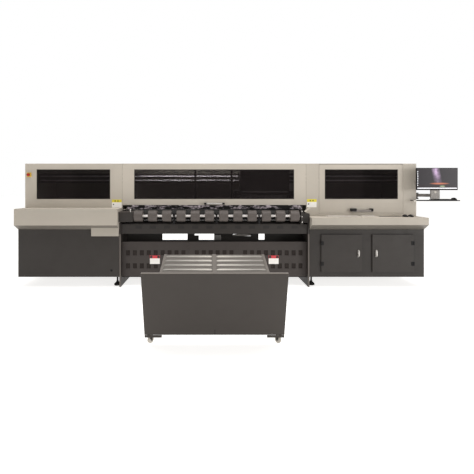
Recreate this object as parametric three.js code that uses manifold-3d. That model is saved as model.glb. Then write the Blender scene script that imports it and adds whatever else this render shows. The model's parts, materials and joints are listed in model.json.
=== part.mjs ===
// A flatbed UV printer 5.5 m wide, with its stacking cart and its monitor arm.
// Millimetres, +Z up. X runs along the machine, to the right of a person who faces its front,
// and Y runs to the rear. The origin is on the floor, under the middle of the whole object.
import * as THREE from 'three';
import { mergeVertices } from 'three/addons/utils/BufferGeometryUtils.js';
import Module from 'manifold-3d';

const wasm = await Module();
wasm.setup();

// ---------------------------------------------------------------- driving dimensions
const touch = 0.3;            // between two pieces that rest on each other
const reveal = 2;             // seam between two neighbouring covers

const machineLeft = -2990;
const machineRight = 2490;
const machineRear = 1570;
const openingLeft = -1625;    // the printing bay lies between the two side modules
const openingRight = 944;
const sideModules = {
  left: [machineLeft, openingLeft - reveal],
  right: [openingRight + reveal, machineRight],
};

const coverFront = 560;
const coverTop = 1685;
const coverWall = 6;
const lidBottom = 1105;
const lidRear = 846;          // rear edge of the lid's roof, where its hinge is
const windowBottom = 1190;
const windowTop = 1602;
const glassThickness = 4;

const consoleFront = 270;
const consoleFloor = 785;
const leftConsoleTop = 1067;
const rightConsoleTop = 950;
const consoleWall = 15;
const rebate = 1;             // the covers stand in a shallow rebate in the console tops

const cabinetFront = 378;
const cabinetBottom = 142;
const cabinetWall = 12;

const legPlate = 20;          // thickness of the two frame side plates
const legBottom = 7;
const bayLeft = openingLeft + 1 + legPlate + touch;
const bayRight = openingRight - 1 - legPlate - touch;
const ventFront = 450;
const ventTop = 608;
const trayBottom = 120;
const trayTop = 134;
const beamBottom = 722;
const beamTop = 854;
const beamFront = 400;
const beamRear = 540;

const rollerAxis = { y: 414, z: 964 };
const rollerRadius = 75;
const rollerWidth = 121;
const rollerPitch = 192.1;
const firstRoller = -1368;
const rollersPerSet = 3;
const rollerSets = 4;
const rollerShaft = 15.5;

const beltRadius = 73.3;
const beltThickness = 3;
const beltAxisZ = 964;
const beltFrontAxis = 610;
const beltRearAxis = 1450;
const beltLeft = -1425;
const beltRight = 845;
const drumShaft = 20;

const guideBeam = { left: -2960, right: 2460, front: 930, rear: 1130, bottom: 1420, top: 1560, wall: 10 };
const railHeights = { lower: 1456, upper: 1518 };
const carriage = { centre: 380, width: 700, front: 640, rear: 900, bottom: 1240, top: 1600 };
const headBottom = 1090;

const cartX = -362;
const cartY = -1400;
const cartLean = THREE.MathUtils.degToRad(16.8);
const cartPanel = { width: 1200, bottom: 90, height: 588, depth: 25 };
const casterHeight = 88;
const wheelRadius = 31;
const wheelClearance = 1;

// ---------------------------------------------------------------- materials
function finish(name, color, roughness, metalness = 0) {
  return new THREE.MeshStandardMaterial({ name, color, roughness, metalness });
}
const coverPaint = finish('cover_paint', 0xbcb2a6, 0.5);
const cabinetPaint = finish('cabinet_paint', 0x403e38, 0.55);
const framePaint = finish('frame_paint', 0x3a3633, 0.55);
const ventPaint = finish('vent_paint', 0x4b4542, 0.6);
const tintedGlass = finish('tinted_glass', 0x24201f, 0.1);
const rubber = finish('rubber', 0x59524e, 0.8);
const darkRubber = finish('dark_rubber', 0x1c1b1a, 0.85);
const steel = finish('steel', 0xb9b6b1, 0.3, 0.9);
const aluminium = finish('aluminium', 0xa9a7a3, 0.4, 0.8);
const beltCloth = finish('belt_cloth', 0x33312f, 0.8);
const blackPlastic = finish('black_plastic', 0x1d1b1c, 0.5);
const silverPlastic = finish('silver_plastic', 0x948b84, 0.4);
const signYellow = finish('sign_yellow', 0xc5a53c, 0.5);
const signRed = finish('sign_red', 0x8c1f1c, 0.4);
const deckSteel = finish('deck_steel', 0xb2aca4, 0.4, 0.6);
const panelPaint = finish('panel_paint', 0x47413d, 0.5);
const wheelPlastic = finish('wheel_plastic', 0xb8b2a8, 0.6);

// ---------------------------------------------------------------- solids
function solidOf(geometry) {
  const bare = geometry.clone();
  bare.deleteAttribute('normal');
  bare.deleteAttribute('uv');
  const merged = mergeVertices(bare, 1e-4);
  const points = merged.getAttribute('position').array;
  const corner = (i) => new THREE.Vector3().fromArray(points, 3 * i);
  const triangles = [];
  let volume = 0;
  for (let i = 0; i < merged.index.count; i += 3) {
    const [a, b, c] = [0, 1, 2].map((k) => merged.index.getX(i + k));
    if (a !== b && b !== c && c !== a) {
      triangles.push([a, b, c]);
      volume += corner(a).dot(corner(b).cross(corner(c)));
    }
  }
  const outward = volume < 0 ? triangles.map(([a, b, c]) => [a, c, b]) : triangles;
  const mesh = new wasm.Mesh({
    numProp: 3,
    vertProperties: Float32Array.from(points),
    triVerts: Uint32Array.from(outward.flat()),
  });
  return new wasm.Manifold(mesh);
}

function block([x0, x1], [y0, y1], [z0, z1]) {
  const geometry = new THREE.BoxGeometry(x1 - x0, y1 - y0, z1 - z0);
  return solidOf(geometry.translate((x0 + x1) / 2, (y0 + y1) / 2, (z0 + z1) / 2));
}

// A profile of [y, z] points, carried along X from x0 to x1.
function prismAlongX(profile, [x0, x1]) {
  const shape = new THREE.Shape(profile.map(([y, z]) => new THREE.Vector2(y, z)));
  const geometry = new THREE.ExtrudeGeometry(shape, { depth: x1 - x0, bevelEnabled: false });
  const turn = new THREE.Matrix4().makeBasis(
    new THREE.Vector3(0, 1, 0),
    new THREE.Vector3(0, 0, 1),
    new THREE.Vector3(1, 0, 0),
  );
  return solidOf(geometry.applyMatrix4(turn).translate(x0, 0, 0));
}

// A turned piece: [radius, height] points about an axis along 'x', 'y' or 'z'.
function turned(profile, axis, segments = 24) {
  const points = profile.map(([radius, height]) => new THREE.Vector2(radius, height));
  const geometry = new THREE.LatheGeometry(points, segments);
  if (axis === 'x') {
    geometry.rotateZ(-Math.PI / 2);
  }
  if (axis === 'z') {
    geometry.rotateX(Math.PI / 2);
  }
  return geometry;
}

function rod(radius, [start, end], axis, [x, y, z], segments = 24) {
  const profile = [[0, start], [radius, start], [radius, end], [0, end]];
  return solidOf(turned(profile, axis, segments).translate(x, y, z));
}

function union(...solids) {
  return solids.reduce((whole, piece) => whole.add(piece));
}

function cut(body, ...tools) {
  return tools.reduce((rest, tool) => rest.subtract(tool), body);
}

function geometryOf(solid) {
  const { vertProperties, triVerts } = solid.getMesh();
  const geometry = new THREE.BufferGeometry();
  geometry.setAttribute('position', new THREE.BufferAttribute(Float32Array.from(vertProperties), 3));
  geometry.setIndex(Array.from(triVerts));
  geometry.computeVertexNormals();
  return geometry;
}

function piece(parent, name, solid, material) {
  const mesh = new THREE.Mesh(geometryOf(solid), material);
  mesh.name = name;
  parent.add(mesh);
  return mesh;
}

// ---------------------------------------------------------------- frame
const printer = new THREE.Group();

function sidePlate(x0) {
  const postTop = guideBeam.bottom - touch;
  const profile = [
    [cabinetFront, legBottom],
    [machineRear - 30, legBottom],
    [machineRear - 30, 1030],
    [guideBeam.rear, 1030],
    [guideBeam.rear, postTop],
    [guideBeam.front, postTop],
    [guideBeam.front, 1030],
    [beamRear, 1030],
    [beamRear, beamTop + 20],
    [cabinetFront, beamTop + 20],
  ];
  const plate = prismAlongX(profile, [x0, x0 + legPlate]);
  const bores = [beltFrontAxis, beltRearAxis].map((y) => (
    rod(drumShaft + 1, [x0 - 5, x0 + legPlate + 5], 'x', [0, y, beltAxisZ])
  ));
  return cut(plate, ...bores);
}

// The web under the belt, with the windows that leave a clear view through the machine.
function crossWeb() {
  const between = [700, 712];
  const through = [690, 720];
  const web = block([bayLeft - 1, bayRight + 1], between, [trayTop - 2, 880]);
  const windows = [
    block([-1085, -724], through, [590, 735]),
    block([-561, -341], through, [590, 735]),
    block([-621, -561.5], through, [660, 735]),
    block([-70, 190], through, [650, 680]),
    block([298, 386], through, [590, 735]),
  ];
  return cut(web, ...windows);
}

function baseFrame() {
  const across = [bayLeft - 1, bayRight + 1];
  const tray = block(across, [ventFront + 10, machineRear - 40], [trayBottom, trayTop]);
  const rearBeam = block(across, [machineRear - 70, machineRear - 40], [trayTop - 2, 478]);
  return union(sidePlate(openingLeft + 1), sidePlate(bayRight + touch), tray, rearBeam, crossWeb());
}
piece(printer, 'base_frame', baseFrame(), framePaint);

const footHeight = cabinetBottom - touch;
const footPad = [[0, 0], [40, 0], [46, 6], [46, 22], [24, 42]];
const footProfile = [...footPad, [13, 46], [13, footHeight], [0, footHeight]];
const footPlaces = {
  foot_front_left: [-1680, 505],
  foot_front_right: [1005, 520],
  foot_rear_left: [-2850, 1320],
  foot_rear_right: [2350, 1320],
};
for (const [name, [x, y]] of Object.entries(footPlaces)) {
  const foot = piece(printer, name, solidOf(turned(footProfile, 'z', 16)), darkRubber);
  foot.position.set(x, y, 0);
}

function hollowBeam([x0, x1], [y0, y1], [z0, z1], wall) {
  const bore = block([x0 - 5, x1 + 5], [y0 + wall, y1 - wall], [z0 + wall, z1 - wall]);
  return cut(block([x0, x1], [y0, y1], [z0, z1]), bore);
}
const frontBeam = hollowBeam([bayLeft, bayRight], [beamFront, beamRear], [beamBottom, beamTop], 8);
piece(printer, 'front_beam', frontBeam, framePaint);

// ---------------------------------------------------------------- vent panels
const ventSeams = [bayLeft, -684, -3, bayRight];
const ventHolesPerRow = [9, 6, 9];
const ventHole = { wide: 55, tall: 70 };
const ventPitch = 95;
const ventRows = [455, 276];

function ventPanel(left, right, holesPerRow) {
  const sheetDepth = [ventFront, ventFront + 4];
  const middle = (left + right) / 2;
  const holes = [];
  for (const z of ventRows) {
    for (let i = 0; i < holesPerRow; i += 1) {
      const x = middle + (i - (holesPerRow - 1) / 2) * ventPitch;
      const acrossHole = [x - ventHole.wide / 2, x + ventHole.wide / 2];
      const upHole = [z - ventHole.tall / 2, z + ventHole.tall / 2];
      holes.push(block(acrossHole, [ventFront - 5, ventFront + 10], upHole));
    }
  }
  return cut(block([left, right], sheetDepth, [trayTop, ventTop]), ...holes);
}
['left', 'middle', 'right'].forEach((side, i) => {
  const left = ventSeams[i] + (i > 0 ? reveal / 2 : 0);
  const right = ventSeams[i + 1] - (i < 2 ? reveal / 2 : 0);
  piece(printer, `vent_panel_${side}`, ventPanel(left, right, ventHolesPerRow[i]), ventPaint);
});

// ---------------------------------------------------------------- cabinets and consoles
const cabinetTop = consoleFloor - touch;

function cabinetShell([left, right], ...openings) {
  const outer = block([left, right], [cabinetFront, machineRear], [cabinetBottom, cabinetTop]);
  const hollow = block(
    [left + cabinetWall, right - cabinetWall],
    [cabinetFront + cabinetWall, machineRear - cabinetWall],
    [cabinetBottom + cabinetWall, cabinetTop - cabinetWall],
  );
  return cut(outer, hollow, ...openings);
}
const throughRearWall = [machineRear - 30, machineRear + 10];
const leftAirOutlet = block([-2750, -1900], throughRearWall, [330, 650]);
piece(printer, 'left_cabinet', cabinetShell(sideModules.left, leftAirOutlet), cabinetPaint);

const doorBottom = 211;
const doorTop = 717;
const doorDepth = 18;
const doorLap = 10;
const doors = { left: [1098, 1647], right: [1785, 2340] };
const doorwayTall = [doorBottom + doorLap, doorTop - doorLap];
const doorways = Object.values(doors).map(([x0, x1]) => (
  block([x0 + doorLap, x1 - doorLap], [cabinetFront - 5, cabinetFront + 30], doorwayTall)
));
const rightAirOutlet = block([1500, 2350], throughRearWall, [330, 650]);
piece(printer, 'right_cabinet', cabinetShell(sideModules.right, ...doorways, rightAirOutlet), cabinetPaint);

// A pressed door with a return all round and a pull handle near its free edge.
function cabinetDoor([x0, x1], handleX) {
  const front = cabinetFront - touch - doorDepth;
  const pan = block([x0, x1], [front, cabinetFront - touch], [doorBottom, doorTop]);
  const recess = block([x0 + 3, x1 - 3], [front + 3, cabinetFront + 5], [doorBottom + 3, doorTop - 3]);
  const handleWide = [handleX - 9, handleX + 9];
  const grip = block(handleWide, [front - 26, front - 18], [421, 506]);
  const stems = [[421, 431], [496, 506]].map((tall) => block(handleWide, [front - 20, front + 1], tall));
  return union(cut(pan, recess), grip, ...stems);
}
piece(printer, 'cabinet_door_left', cabinetDoor(doors.left, 1598), cabinetPaint);
piece(printer, 'cabinet_door_right', cabinetDoor(doors.right, 1837), cabinetPaint);

// A console is a tub whose front part is closed on top; its face is cut back at the bottom.
function consoleTub([left, right], faceBottom, top) {
  const profile = [
    [consoleFront, faceBottom],
    [consoleFront, top],
    [coverFront - rebate, top],
    [coverFront - rebate, top - rebate],
    [machineRear, top - rebate],
    [machineRear, consoleFloor],
    [cabinetFront, consoleFloor],
  ];
  const pit = block(
    [left + consoleWall, right - consoleWall],
    [coverFront + 30, machineRear - consoleWall],
    [consoleFloor + consoleWall, top + 20],
  );
  return cut(prismAlongX(profile, [left, right]), pit);
}
const carriageWay = block([openingLeft - 40, openingLeft + 10], [600, 1000], [1036, leftConsoleTop + 20]);
const stepBox = block([-1992, sideModules.left[1]], [340, cabinetFront - touch], [697, 812]);
const leftConsole = union(cut(consoleTub(sideModules.left, 849, leftConsoleTop), carriageWay), stepBox);
piece(printer, 'left_console', leftConsole, coverPaint);
piece(printer, 'right_console', consoleTub(sideModules.right, 855, rightConsoleTop), coverPaint);

// ---------------------------------------------------------------- upper covers and windows
const windowSpans = { left: [-2826, -1800], lid: [-1460, 776], door: [1210, 2229] };
const accessDoor = { span: [1129, 2302], bottom: 993, top: 1674 };

function windowHole([x0, x1]) {
  return block([x0, x1], [coverFront - 5, coverFront + 15], [windowBottom, windowTop]);
}

function windowPane([x0, x1]) {
  const glassFront = coverFront + 1;
  return block(
    [x0 + touch, x1 - touch],
    [glassFront, glassFront + glassThickness],
    [windowBottom + touch, windowTop - touch],
  );
}

// A cover is open below and towards the printing bay, so the carriage runs through it.
function sideCover([left, right], deskTop, hollowAcross) {
  const bottom = deskTop - rebate + touch;
  const shell = block([left, right], [coverFront, machineRear], [bottom, coverTop]);
  const inside = [coverFront + coverWall, machineRear - coverWall];
  return cut(shell, block(hollowAcross, inside, [bottom - 20, coverTop - coverWall]));
}
const leftHollow = [machineLeft + coverWall, openingLeft + 20];
const leftCover = cut(sideCover(sideModules.left, leftConsoleTop, leftHollow), windowHole(windowSpans.left));
piece(printer, 'left_cover', leftCover, coverPaint);
piece(printer, 'left_window', windowPane(windowSpans.left), tintedGlass);

const rightHollow = [openingRight - 20, machineRight - coverWall];
const doorway = block(
  [accessDoor.span[0] - reveal, accessDoor.span[1] + reveal],
  [coverFront - 5, coverFront + coverWall + 5],
  [accessDoor.bottom - reveal, coverTop - coverWall],
);
const rightCover = cut(sideCover(sideModules.right, rightConsoleTop, rightHollow), doorway);
piece(printer, 'right_cover', rightCover, coverPaint);

const bayCover = [openingLeft, openingRight];
const bayRoof = block(bayCover, [lidRear + 4, machineRear], [coverTop - coverWall, coverTop]);
const bayRear = block(bayCover, [machineRear - coverWall, machineRear], [lidBottom, coverTop]);
piece(printer, 'middle_cover', union(bayRoof, bayRear), coverPaint);

function lidShell() {
  const front = block(bayCover, [coverFront, coverFront + coverWall], [lidBottom, coverTop]);
  const roof = block(bayCover, [coverFront, lidRear], [coverTop - coverWall, coverTop]);
  const lip = block(bayCover, [coverFront, coverFront + 25], [lidBottom, lidBottom + coverWall]);
  return cut(union(front, roof, lip), windowHole(windowSpans.lid));
}
const lid = new THREE.Group();
printer.add(lid);
piece(lid, 'lid', lidShell(), coverPaint);
piece(lid, 'lid_window', windowPane(windowSpans.lid), tintedGlass);

const door = new THREE.Group();
printer.add(door);
const doorSheet = [coverFront, coverFront + coverWall];
const doorPanel = block(accessDoor.span, doorSheet, [accessDoor.bottom, accessDoor.top]);
piece(door, 'access_door', cut(doorPanel, windowHole(windowSpans.door)), coverPaint);
piece(door, 'access_window', windowPane(windowSpans.door), tintedGlass);

// A grab bar on two end blocks, with room for the fingers behind it.
function grabHandle([x0, x1], barTall, endTall, [leftEnd, rightEnd]) {
  const standOff = 50;
  const barFront = coverFront - standOff;
  const bar = block([x0, x1], [barFront, barFront + 18], barTall);
  const foot = [barFront, coverFront - touch];
  const ends = [[x0, x0 + leftEnd], [x1 - rightEnd, x1]].map((wide) => block(wide, foot, endTall));
  return union(bar, ...ends);
}
piece(lid, 'lid_handle', grabHandle([-481, -196], [1114, 1136], [1112, 1138], [34, 34]), steel);
piece(door, 'access_handle', grabHandle([1560, 1868], [1006, 1040], [1018, 1058], [75, 34]), silverPlastic);

// ---------------------------------------------------------------- emergency stop
const stopCentre = { x: -2931, z: 1528 };
const stopPlate = cut(
  block([-2962, -2900], [coverFront - 12, coverFront - touch], [1497, 1559]),
  rod(10, [coverFront - 20, coverFront + 5], 'y', [stopCentre.x, 0, stopCentre.z]),
);
piece(printer, 'e_stop_plate', stopPlate, signYellow);
const stopProfile = [[0, -40], [14, -39], [21, -34], [21, -28], [9, -25], [9, -13], [0, -13]];
const stopButton = piece(printer, 'e_stop_button', solidOf(turned(stopProfile, 'y')), signRed);
stopButton.position.set(stopCentre.x, coverFront, stopCentre.z);

// ---------------------------------------------------------------- delivery rollers
const setPitch = rollersPerSet * rollerPitch;
const setHalf = setPitch / 2 - 2;

function rollerSet() {
  const profile = [[0, -setHalf], [rollerShaft, -setHalf]];
  for (let i = 0; i < rollersPerSet; i += 1) {
    const middle = (i - (rollersPerSet - 1) / 2) * rollerPitch;
    const [start, end] = [middle - rollerWidth / 2, middle + rollerWidth / 2];
    profile.push([rollerShaft, start], [rollerRadius - 4, start], [rollerRadius, start + 5]);
    profile.push([rollerRadius, end - 5], [rollerRadius - 4, end], [rollerShaft, end]);
  }
  profile.push([rollerShaft, setHalf], [0, setHalf]);
  return solidOf(turned(profile, 'x', 20));
}

function bearingPost() {
  const cheek = [-11, 11];
  const upright = block(cheek, [-35, 35], [beamTop + touch - rollerAxis.z, 36]);
  const bore = rod(rollerShaft + 1, [-20, 20], 'x', [0, 0, 0]);
  return cut(upright, bore);
}

const deliveryRollers = new THREE.Group();
deliveryRollers.position.set(0, rollerAxis.y, rollerAxis.z);
printer.add(deliveryRollers);
for (let i = 0; i < rollerSets; i += 1) {
  const middle = firstRoller + (i * rollersPerSet + (rollersPerSet - 1) / 2) * rollerPitch;
  piece(deliveryRollers, `roller_set_${i + 1}`, rollerSet(), rubber).position.x = middle;
  if (i > 0) {
    const post = piece(printer, `bearing_post_${i}`, bearingPost(), blackPlastic);
    post.position.set(middle - setPitch / 2, rollerAxis.y, rollerAxis.z);
  }
}

const firstEnd = firstRoller - rollerPitch / 2 - 2;
const lastEnd = firstRoller + (rollersPerSet * rollerSets - 0.5) * rollerPitch + 2;
const driveBoxRight = -1434;
const driveBox = cut(
  block([openingLeft - 2 + touch, driveBoxRight], [335, 500], [890, 1020]),
  rod(rollerShaft + 1, [firstEnd - 20, driveBoxRight + 10], 'x', [0, rollerAxis.y, rollerAxis.z]),
);
piece(printer, 'drive_box', driveBox, framePaint);
const endBox = cut(
  union(
    block([822, 850], [350, 480], [beamTop + touch, 1048]),
    block([849, openingRight - touch], [370, 500], [beamTop + 21, 1000]),
  ),
  rod(rollerShaft + 1, [800, lastEnd + 20], 'x', [0, rollerAxis.y, rollerAxis.z]),
);
piece(printer, 'end_box', endBox, framePaint);

// ---------------------------------------------------------------- vacuum belt table
const bendSteps = 12;         // sides of the belt's half turn round a drum

function loopOutline(radius) {
  const outline = new THREE.Shape();
  outline.absarc(beltRearAxis, beltAxisZ, radius, -Math.PI / 2, Math.PI / 2, false);
  outline.absarc(beltFrontAxis, beltAxisZ, radius, Math.PI / 2, 1.5 * Math.PI, false);
  return outline;
}

function loopSolid(radius, [x0, x1]) {
  const profile = loopOutline(radius).getPoints(bendSteps).map((p) => [p.x, p.y]);
  return prismAlongX(profile.slice(0, -1), [x0, x1]);
}
const beltLoop = cut(
  loopSolid(beltRadius, [beltLeft, beltRight]),
  loopSolid(beltRadius - beltThickness, [beltLeft - 5, beltRight + 5]),
);
piece(printer, 'transport_belt', beltLoop, beltCloth);

const tableTop = beltAxisZ + beltRadius - beltThickness - touch;
const vacuumTable = block([bayLeft, bayRight], [beltFrontAxis + 85, beltRearAxis - 85], [985, tableTop]);
piece(printer, 'vacuum_table', vacuumTable, aluminium);

function beltDrum(y) {
  const drumRadius = (beltRadius - beltThickness) * Math.cos(Math.PI / (2 * bendSteps)) - touch;
  const ends = [openingLeft + 2, openingRight - 2];
  const drum = rod(drumRadius, [beltLeft + 3, beltRight - 3], 'x', [0, 0, 0], 32);
  const shaft = rod(drumShaft, ends, 'x', [0, 0, 0]);
  return { solid: union(drum, shaft), place: [0, y, beltAxisZ] };
}
for (const [name, y] of [['belt_drive_drum', beltFrontAxis], ['belt_idler_drum', beltRearAxis]]) {
  const { solid, place } = beltDrum(y);
  piece(printer, name, solid, steel).position.set(...place);
}

// ---------------------------------------------------------------- guide beam and print carriage
const gantry = hollowBeam(
  [guideBeam.left, guideBeam.right],
  [guideBeam.front, guideBeam.rear],
  [guideBeam.bottom, guideBeam.top],
  guideBeam.wall,
);
piece(printer, 'guide_beam', gantry, framePaint);
const railFront = guideBeam.front - 25;
const railSpan = [guideBeam.left + 20, guideBeam.right - 20];
for (const [level, z] of Object.entries(railHeights)) {
  const rail = block(railSpan, [railFront, guideBeam.front - touch], [z - 10, z + 10]);
  piece(printer, `linear_rail_${level}`, rail, steel);
}

const carriageGroup = new THREE.Group();
carriageGroup.position.x = carriage.centre;
printer.add(carriageGroup);
const halfCarriage = carriage.width / 2;

function carriageHood() {
  const across = [-halfCarriage, halfCarriage];
  const outer = block(across, [carriage.front, carriage.rear], [carriage.bottom, carriage.top]);
  const hollow = block(
    [-halfCarriage + 6, halfCarriage - 6],
    [carriage.front + 6, carriage.rear - 20],
    [carriage.bottom - 10, carriage.top - 6],
  );
  const blocks = Object.values(railHeights).flatMap((z) => [-230, 230].map((x) => (
    block([x - 60, x + 60], [carriage.rear - 1, railFront - touch], [z - 22, z + 22])
  )));
  return union(cut(outer, hollow), ...blocks);
}
piece(carriageGroup, 'carriage', carriageHood(), framePaint);

function headBlock() {
  const plate = block([-320, 320], [670, 860], [headBottom + 24, 1232]);
  const stem = block([-180, 180], [700, 830], [1231, 1400]);
  const heads = [];
  for (const y of [700, 765, 830]) {
    for (let i = 0; i < 4; i += 1) {
      const x = -225 + 150 * i;
      heads.push(block([x - 55, x + 55], [y - 17, y + 17], [headBottom, headBottom + 25]));
    }
  }
  return union(plate, stem, ...heads);
}
piece(carriageGroup, 'print_head_block', headBlock(), aluminium);
for (const [side, sign] of [['left', -1], ['right', 1]]) {
  const near = halfCarriage + 4;
  const lamp = block([near, near + 76], [665, 865], [headBottom + 5, 1300]);
  const housing = cut(lamp, block([near + 12, near + 64], [680, 850], [headBottom - 10, headBottom + 45]));
  const mesh = piece(carriageGroup, `uv_lamp_${side}`, housing, blackPlastic);
  mesh.position.x = sign > 0 ? 0 : -2 * near - 76;
}

// ---------------------------------------------------------------- monitor arm
const armPivot = { x: 2514, y: 601 };
const armBar = { bottom: 1221, top: 1263, width: 26 };
const column = { span: [2619, 2742], front: 440, rear: 458, bottom: 1196, top: 1492 };
const shelfTop = 1178;
const lugs = { bottom: [1187, 1203], top: [1265, 1277] };
const pinRadius = 8;

const monitorBracket = union(
  block([machineRight + touch, machineRight + 6], [575, 627], [lugs.bottom[0], lugs.top[1]]),
  block([machineRight + 5, 2534], [582, 620], lugs.bottom),
  block([machineRight + 5, 2534], [582, 620], lugs.top),
  rod(pinRadius, [lugs.bottom[1] - 1, lugs.top[0] + 1], 'z', [armPivot.x, armPivot.y, 0]),
);
piece(printer, 'monitor_bracket', monitorBracket, blackPlastic);

const monitorArm = new THREE.Group();
monitorArm.position.set(armPivot.x, armPivot.y, 0);
printer.add(monitorArm);

function armSolid() {
  const reach = [column.span[0] + 50 - armPivot.x, column.rear - armPivot.y];
  const length = Math.hypot(...reach);
  const heading = Math.atan2(reach[1], reach[0]);
  const barBox = new THREE.BoxGeometry(length, armBar.width, armBar.top - armBar.bottom);
  const bar = solidOf(barBox.translate(length / 2, 0, (armBar.bottom + armBar.top) / 2).rotateZ(heading));
  const sleeve = rod(16, [lugs.bottom[1] + touch, armBar.top], 'z', [0, 0, 0]);
  const columnDepth = [column.front - armPivot.y, column.rear - armPivot.y];
  const plate = block(column.span.map((x) => x - armPivot.x), columnDepth, [column.bottom, column.top]);
  const neck = block([130, 200], columnDepth, [shelfTop + touch, column.bottom + 1]);
  const bore = rod(pinRadius + touch, [lugs.bottom[0], lugs.top[1]], 'z', [0, 0, 0]);
  return cut(union(sleeve, bar, plate, neck), bore);
}
piece(monitorArm, 'monitor_arm', armSolid(), silverPlastic);

const shelf = block([2395, 2990], [395, 545], [shelfTop - 12, shelfTop]);
piece(printer, 'keyboard_shelf', shelf, blackPlastic);

const screen = union(
  block([2400, 2960], [400, 420], [1315, 1617]),
  block([2500, 2860], [419, 427], [1374, 1556]),
  block([2650, 2710], [426, 431], [1434, 1494]),
  rod(6, [2655, 2705], 'x', [0, 432, 1464]),
);
piece(printer, 'monitor', screen, blackPlastic);

// ---------------------------------------------------------------- stacking cart
const cart = new THREE.Group();
cart.position.set(cartX, cartY, 0);
printer.add(cart);

const frameTube = 30;
const frameLevel = [casterHeight + 4, casterHeight + 4 + frameTube];
const rearCaster = { x: 450, y: 380 };
const frontCaster = { x: 565, y: 39 };
const casterYaw = { left: -40, right: 44 };   // how the swivel casters stand, in degrees
const deckHeight = 566;       // along the leaning panel, from its lower edge
const deckDepth = 352;

function uprightTo(x, y, top) {
  return block([x - 15, x + 15], [y - 15, y + 15], [frameLevel[0] + 1, top]);
}

function fixedCasterFork(x) {
  const cheeks = [-19, 16].map((side) => (
    block([x + side, x + side + 3], [rearCaster.y - 18, rearCaster.y + 18], [22, casterHeight])
  ));
  const plateDeep = [rearCaster.y - 28, rearCaster.y + 28];
  const plate = block([x - 28, x + 28], plateDeep, [casterHeight - 1, frameLevel[0] + 1]);
  const axle = rod(4, [x - 18, x + 18], 'x', [0, rearCaster.y, wheelRadius + wheelClearance], 12);
  return union(plate, ...cheeks, axle);
}

function cartFrame() {
  const sides = [-rearCaster.x, rearCaster.x];
  const railEnds = [25, rearCaster.y + 40];
  const longRails = sides.map((x) => block([x - 15, x + 15], railEnds, frameLevel));
  const crossRails = [25, rearCaster.y + 10].map((y, i) => {
    const half = i === 0 ? 592 : rearCaster.x + 15;
    return block([-half, half], [y, y + frameTube], frameLevel);
  });
  const rearUprights = sides.map((x) => uprightTo(x * 0.95, 150, 688));
  const tie = block([-430, 430], [135, 165], [660, 688]);
  const floorTie = block([-450, 450], [135, 165], frameLevel);
  const forks = sides.map((x) => fixedCasterFork(x));
  return union(...longRails, ...crossRails, ...rearUprights, tie, floorTie, ...forks);
}
piece(cart, 'cart_frame', cartFrame(), panelPaint);

// The panel and the deck stand at a right angle to each other and lean back together.
const leaning = new THREE.Group();
leaning.position.z = cartPanel.bottom;
leaning.rotation.x = cartLean;
cart.add(leaning);
const panelHalf = cartPanel.width / 2;
const panelPan = cut(
  block([-panelHalf, panelHalf], [0, cartPanel.depth], [0, cartPanel.height]),
  block([-panelHalf + 3, panelHalf - 3], [3, cartPanel.depth + 5], [3, cartPanel.height - 3]),
);
piece(leaning, 'cart_panel', panelPan, panelPaint);

function cartDeck() {
  const half = 455;
  const y0 = cartPanel.depth + touch;
  const y1 = y0 + deckDepth;
  const sheet = block([-half, half], [y0, y1], [deckHeight - 3, deckHeight]);
  const flangeTall = [deckHeight - 25, deckHeight - 1];
  const flanges = [-half, half - 3].map((x) => block([x, x + 3], [y0, y1], flangeTall));
  const spine = block([-16, 16], [y0, y1], [deckHeight - 1, deckHeight + 5]);
  const ribs = [];
  for (let i = 0; i < 4; i += 1) {
    const y = y0 + 84 + 77 * i;
    for (const x of [-226, 226]) {
      ribs.push(block([x - 205, x + 205], [y - 13, y + 13], [deckHeight - 1, deckHeight + 6]));
    }
  }
  return union(sheet, ...flanges, spine, ...ribs);
}
piece(leaning, 'cart_deck', cartDeck(), deckSteel);

// A swivel fork hangs below its plate, and its axle trails behind the swivel's axis.
const casterTrail = 16;
function swivelFork() {
  const plate = rod(26, [casterHeight - 4, casterHeight + 4 - touch], 'z', [0, 0, 0], 20);
  const cheekDeep = [-16, casterTrail + 12];
  const cheeks = [-19, 16].map((side) => block([side, side + 3], cheekDeep, [22, casterHeight - 3]));
  const axle = rod(4, [-18, 18], 'x', [0, casterTrail, wheelRadius + wheelClearance], 12);
  return union(plate, ...cheeks, axle);
}
const wheelProfile = [
  [4.4, -13], [14, -13], [wheelRadius, -9], [wheelRadius, 9], [14, 13], [4.4, 13], [4.4, -13],
];
const axleHeight = wheelRadius + wheelClearance;
for (const [side, sign] of [['left', -1], ['right', 1]]) {
  const caster = new THREE.Group();
  caster.position.set(sign * frontCaster.x, frontCaster.y, 0);
  caster.rotation.z = THREE.MathUtils.degToRad(casterYaw[side]);
  cart.add(caster);
  piece(caster, `caster_fork_${side}`, swivelFork(), framePaint);
  const front = piece(caster, `front_wheel_${side}`, solidOf(turned(wheelProfile, 'x', 16)), wheelPlastic);
  front.position.set(0, casterTrail, axleHeight);
  const rear = piece(cart, `rear_wheel_${side}`, solidOf(turned(wheelProfile, 'x', 16)), wheelPlastic);
  rear.position.set(sign * rearCaster.x, rearCaster.y, axleHeight);
}

export default printer;
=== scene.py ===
import json
import math
import random

import bmesh
import bpy
from mathutils import Matrix, Vector


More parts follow.
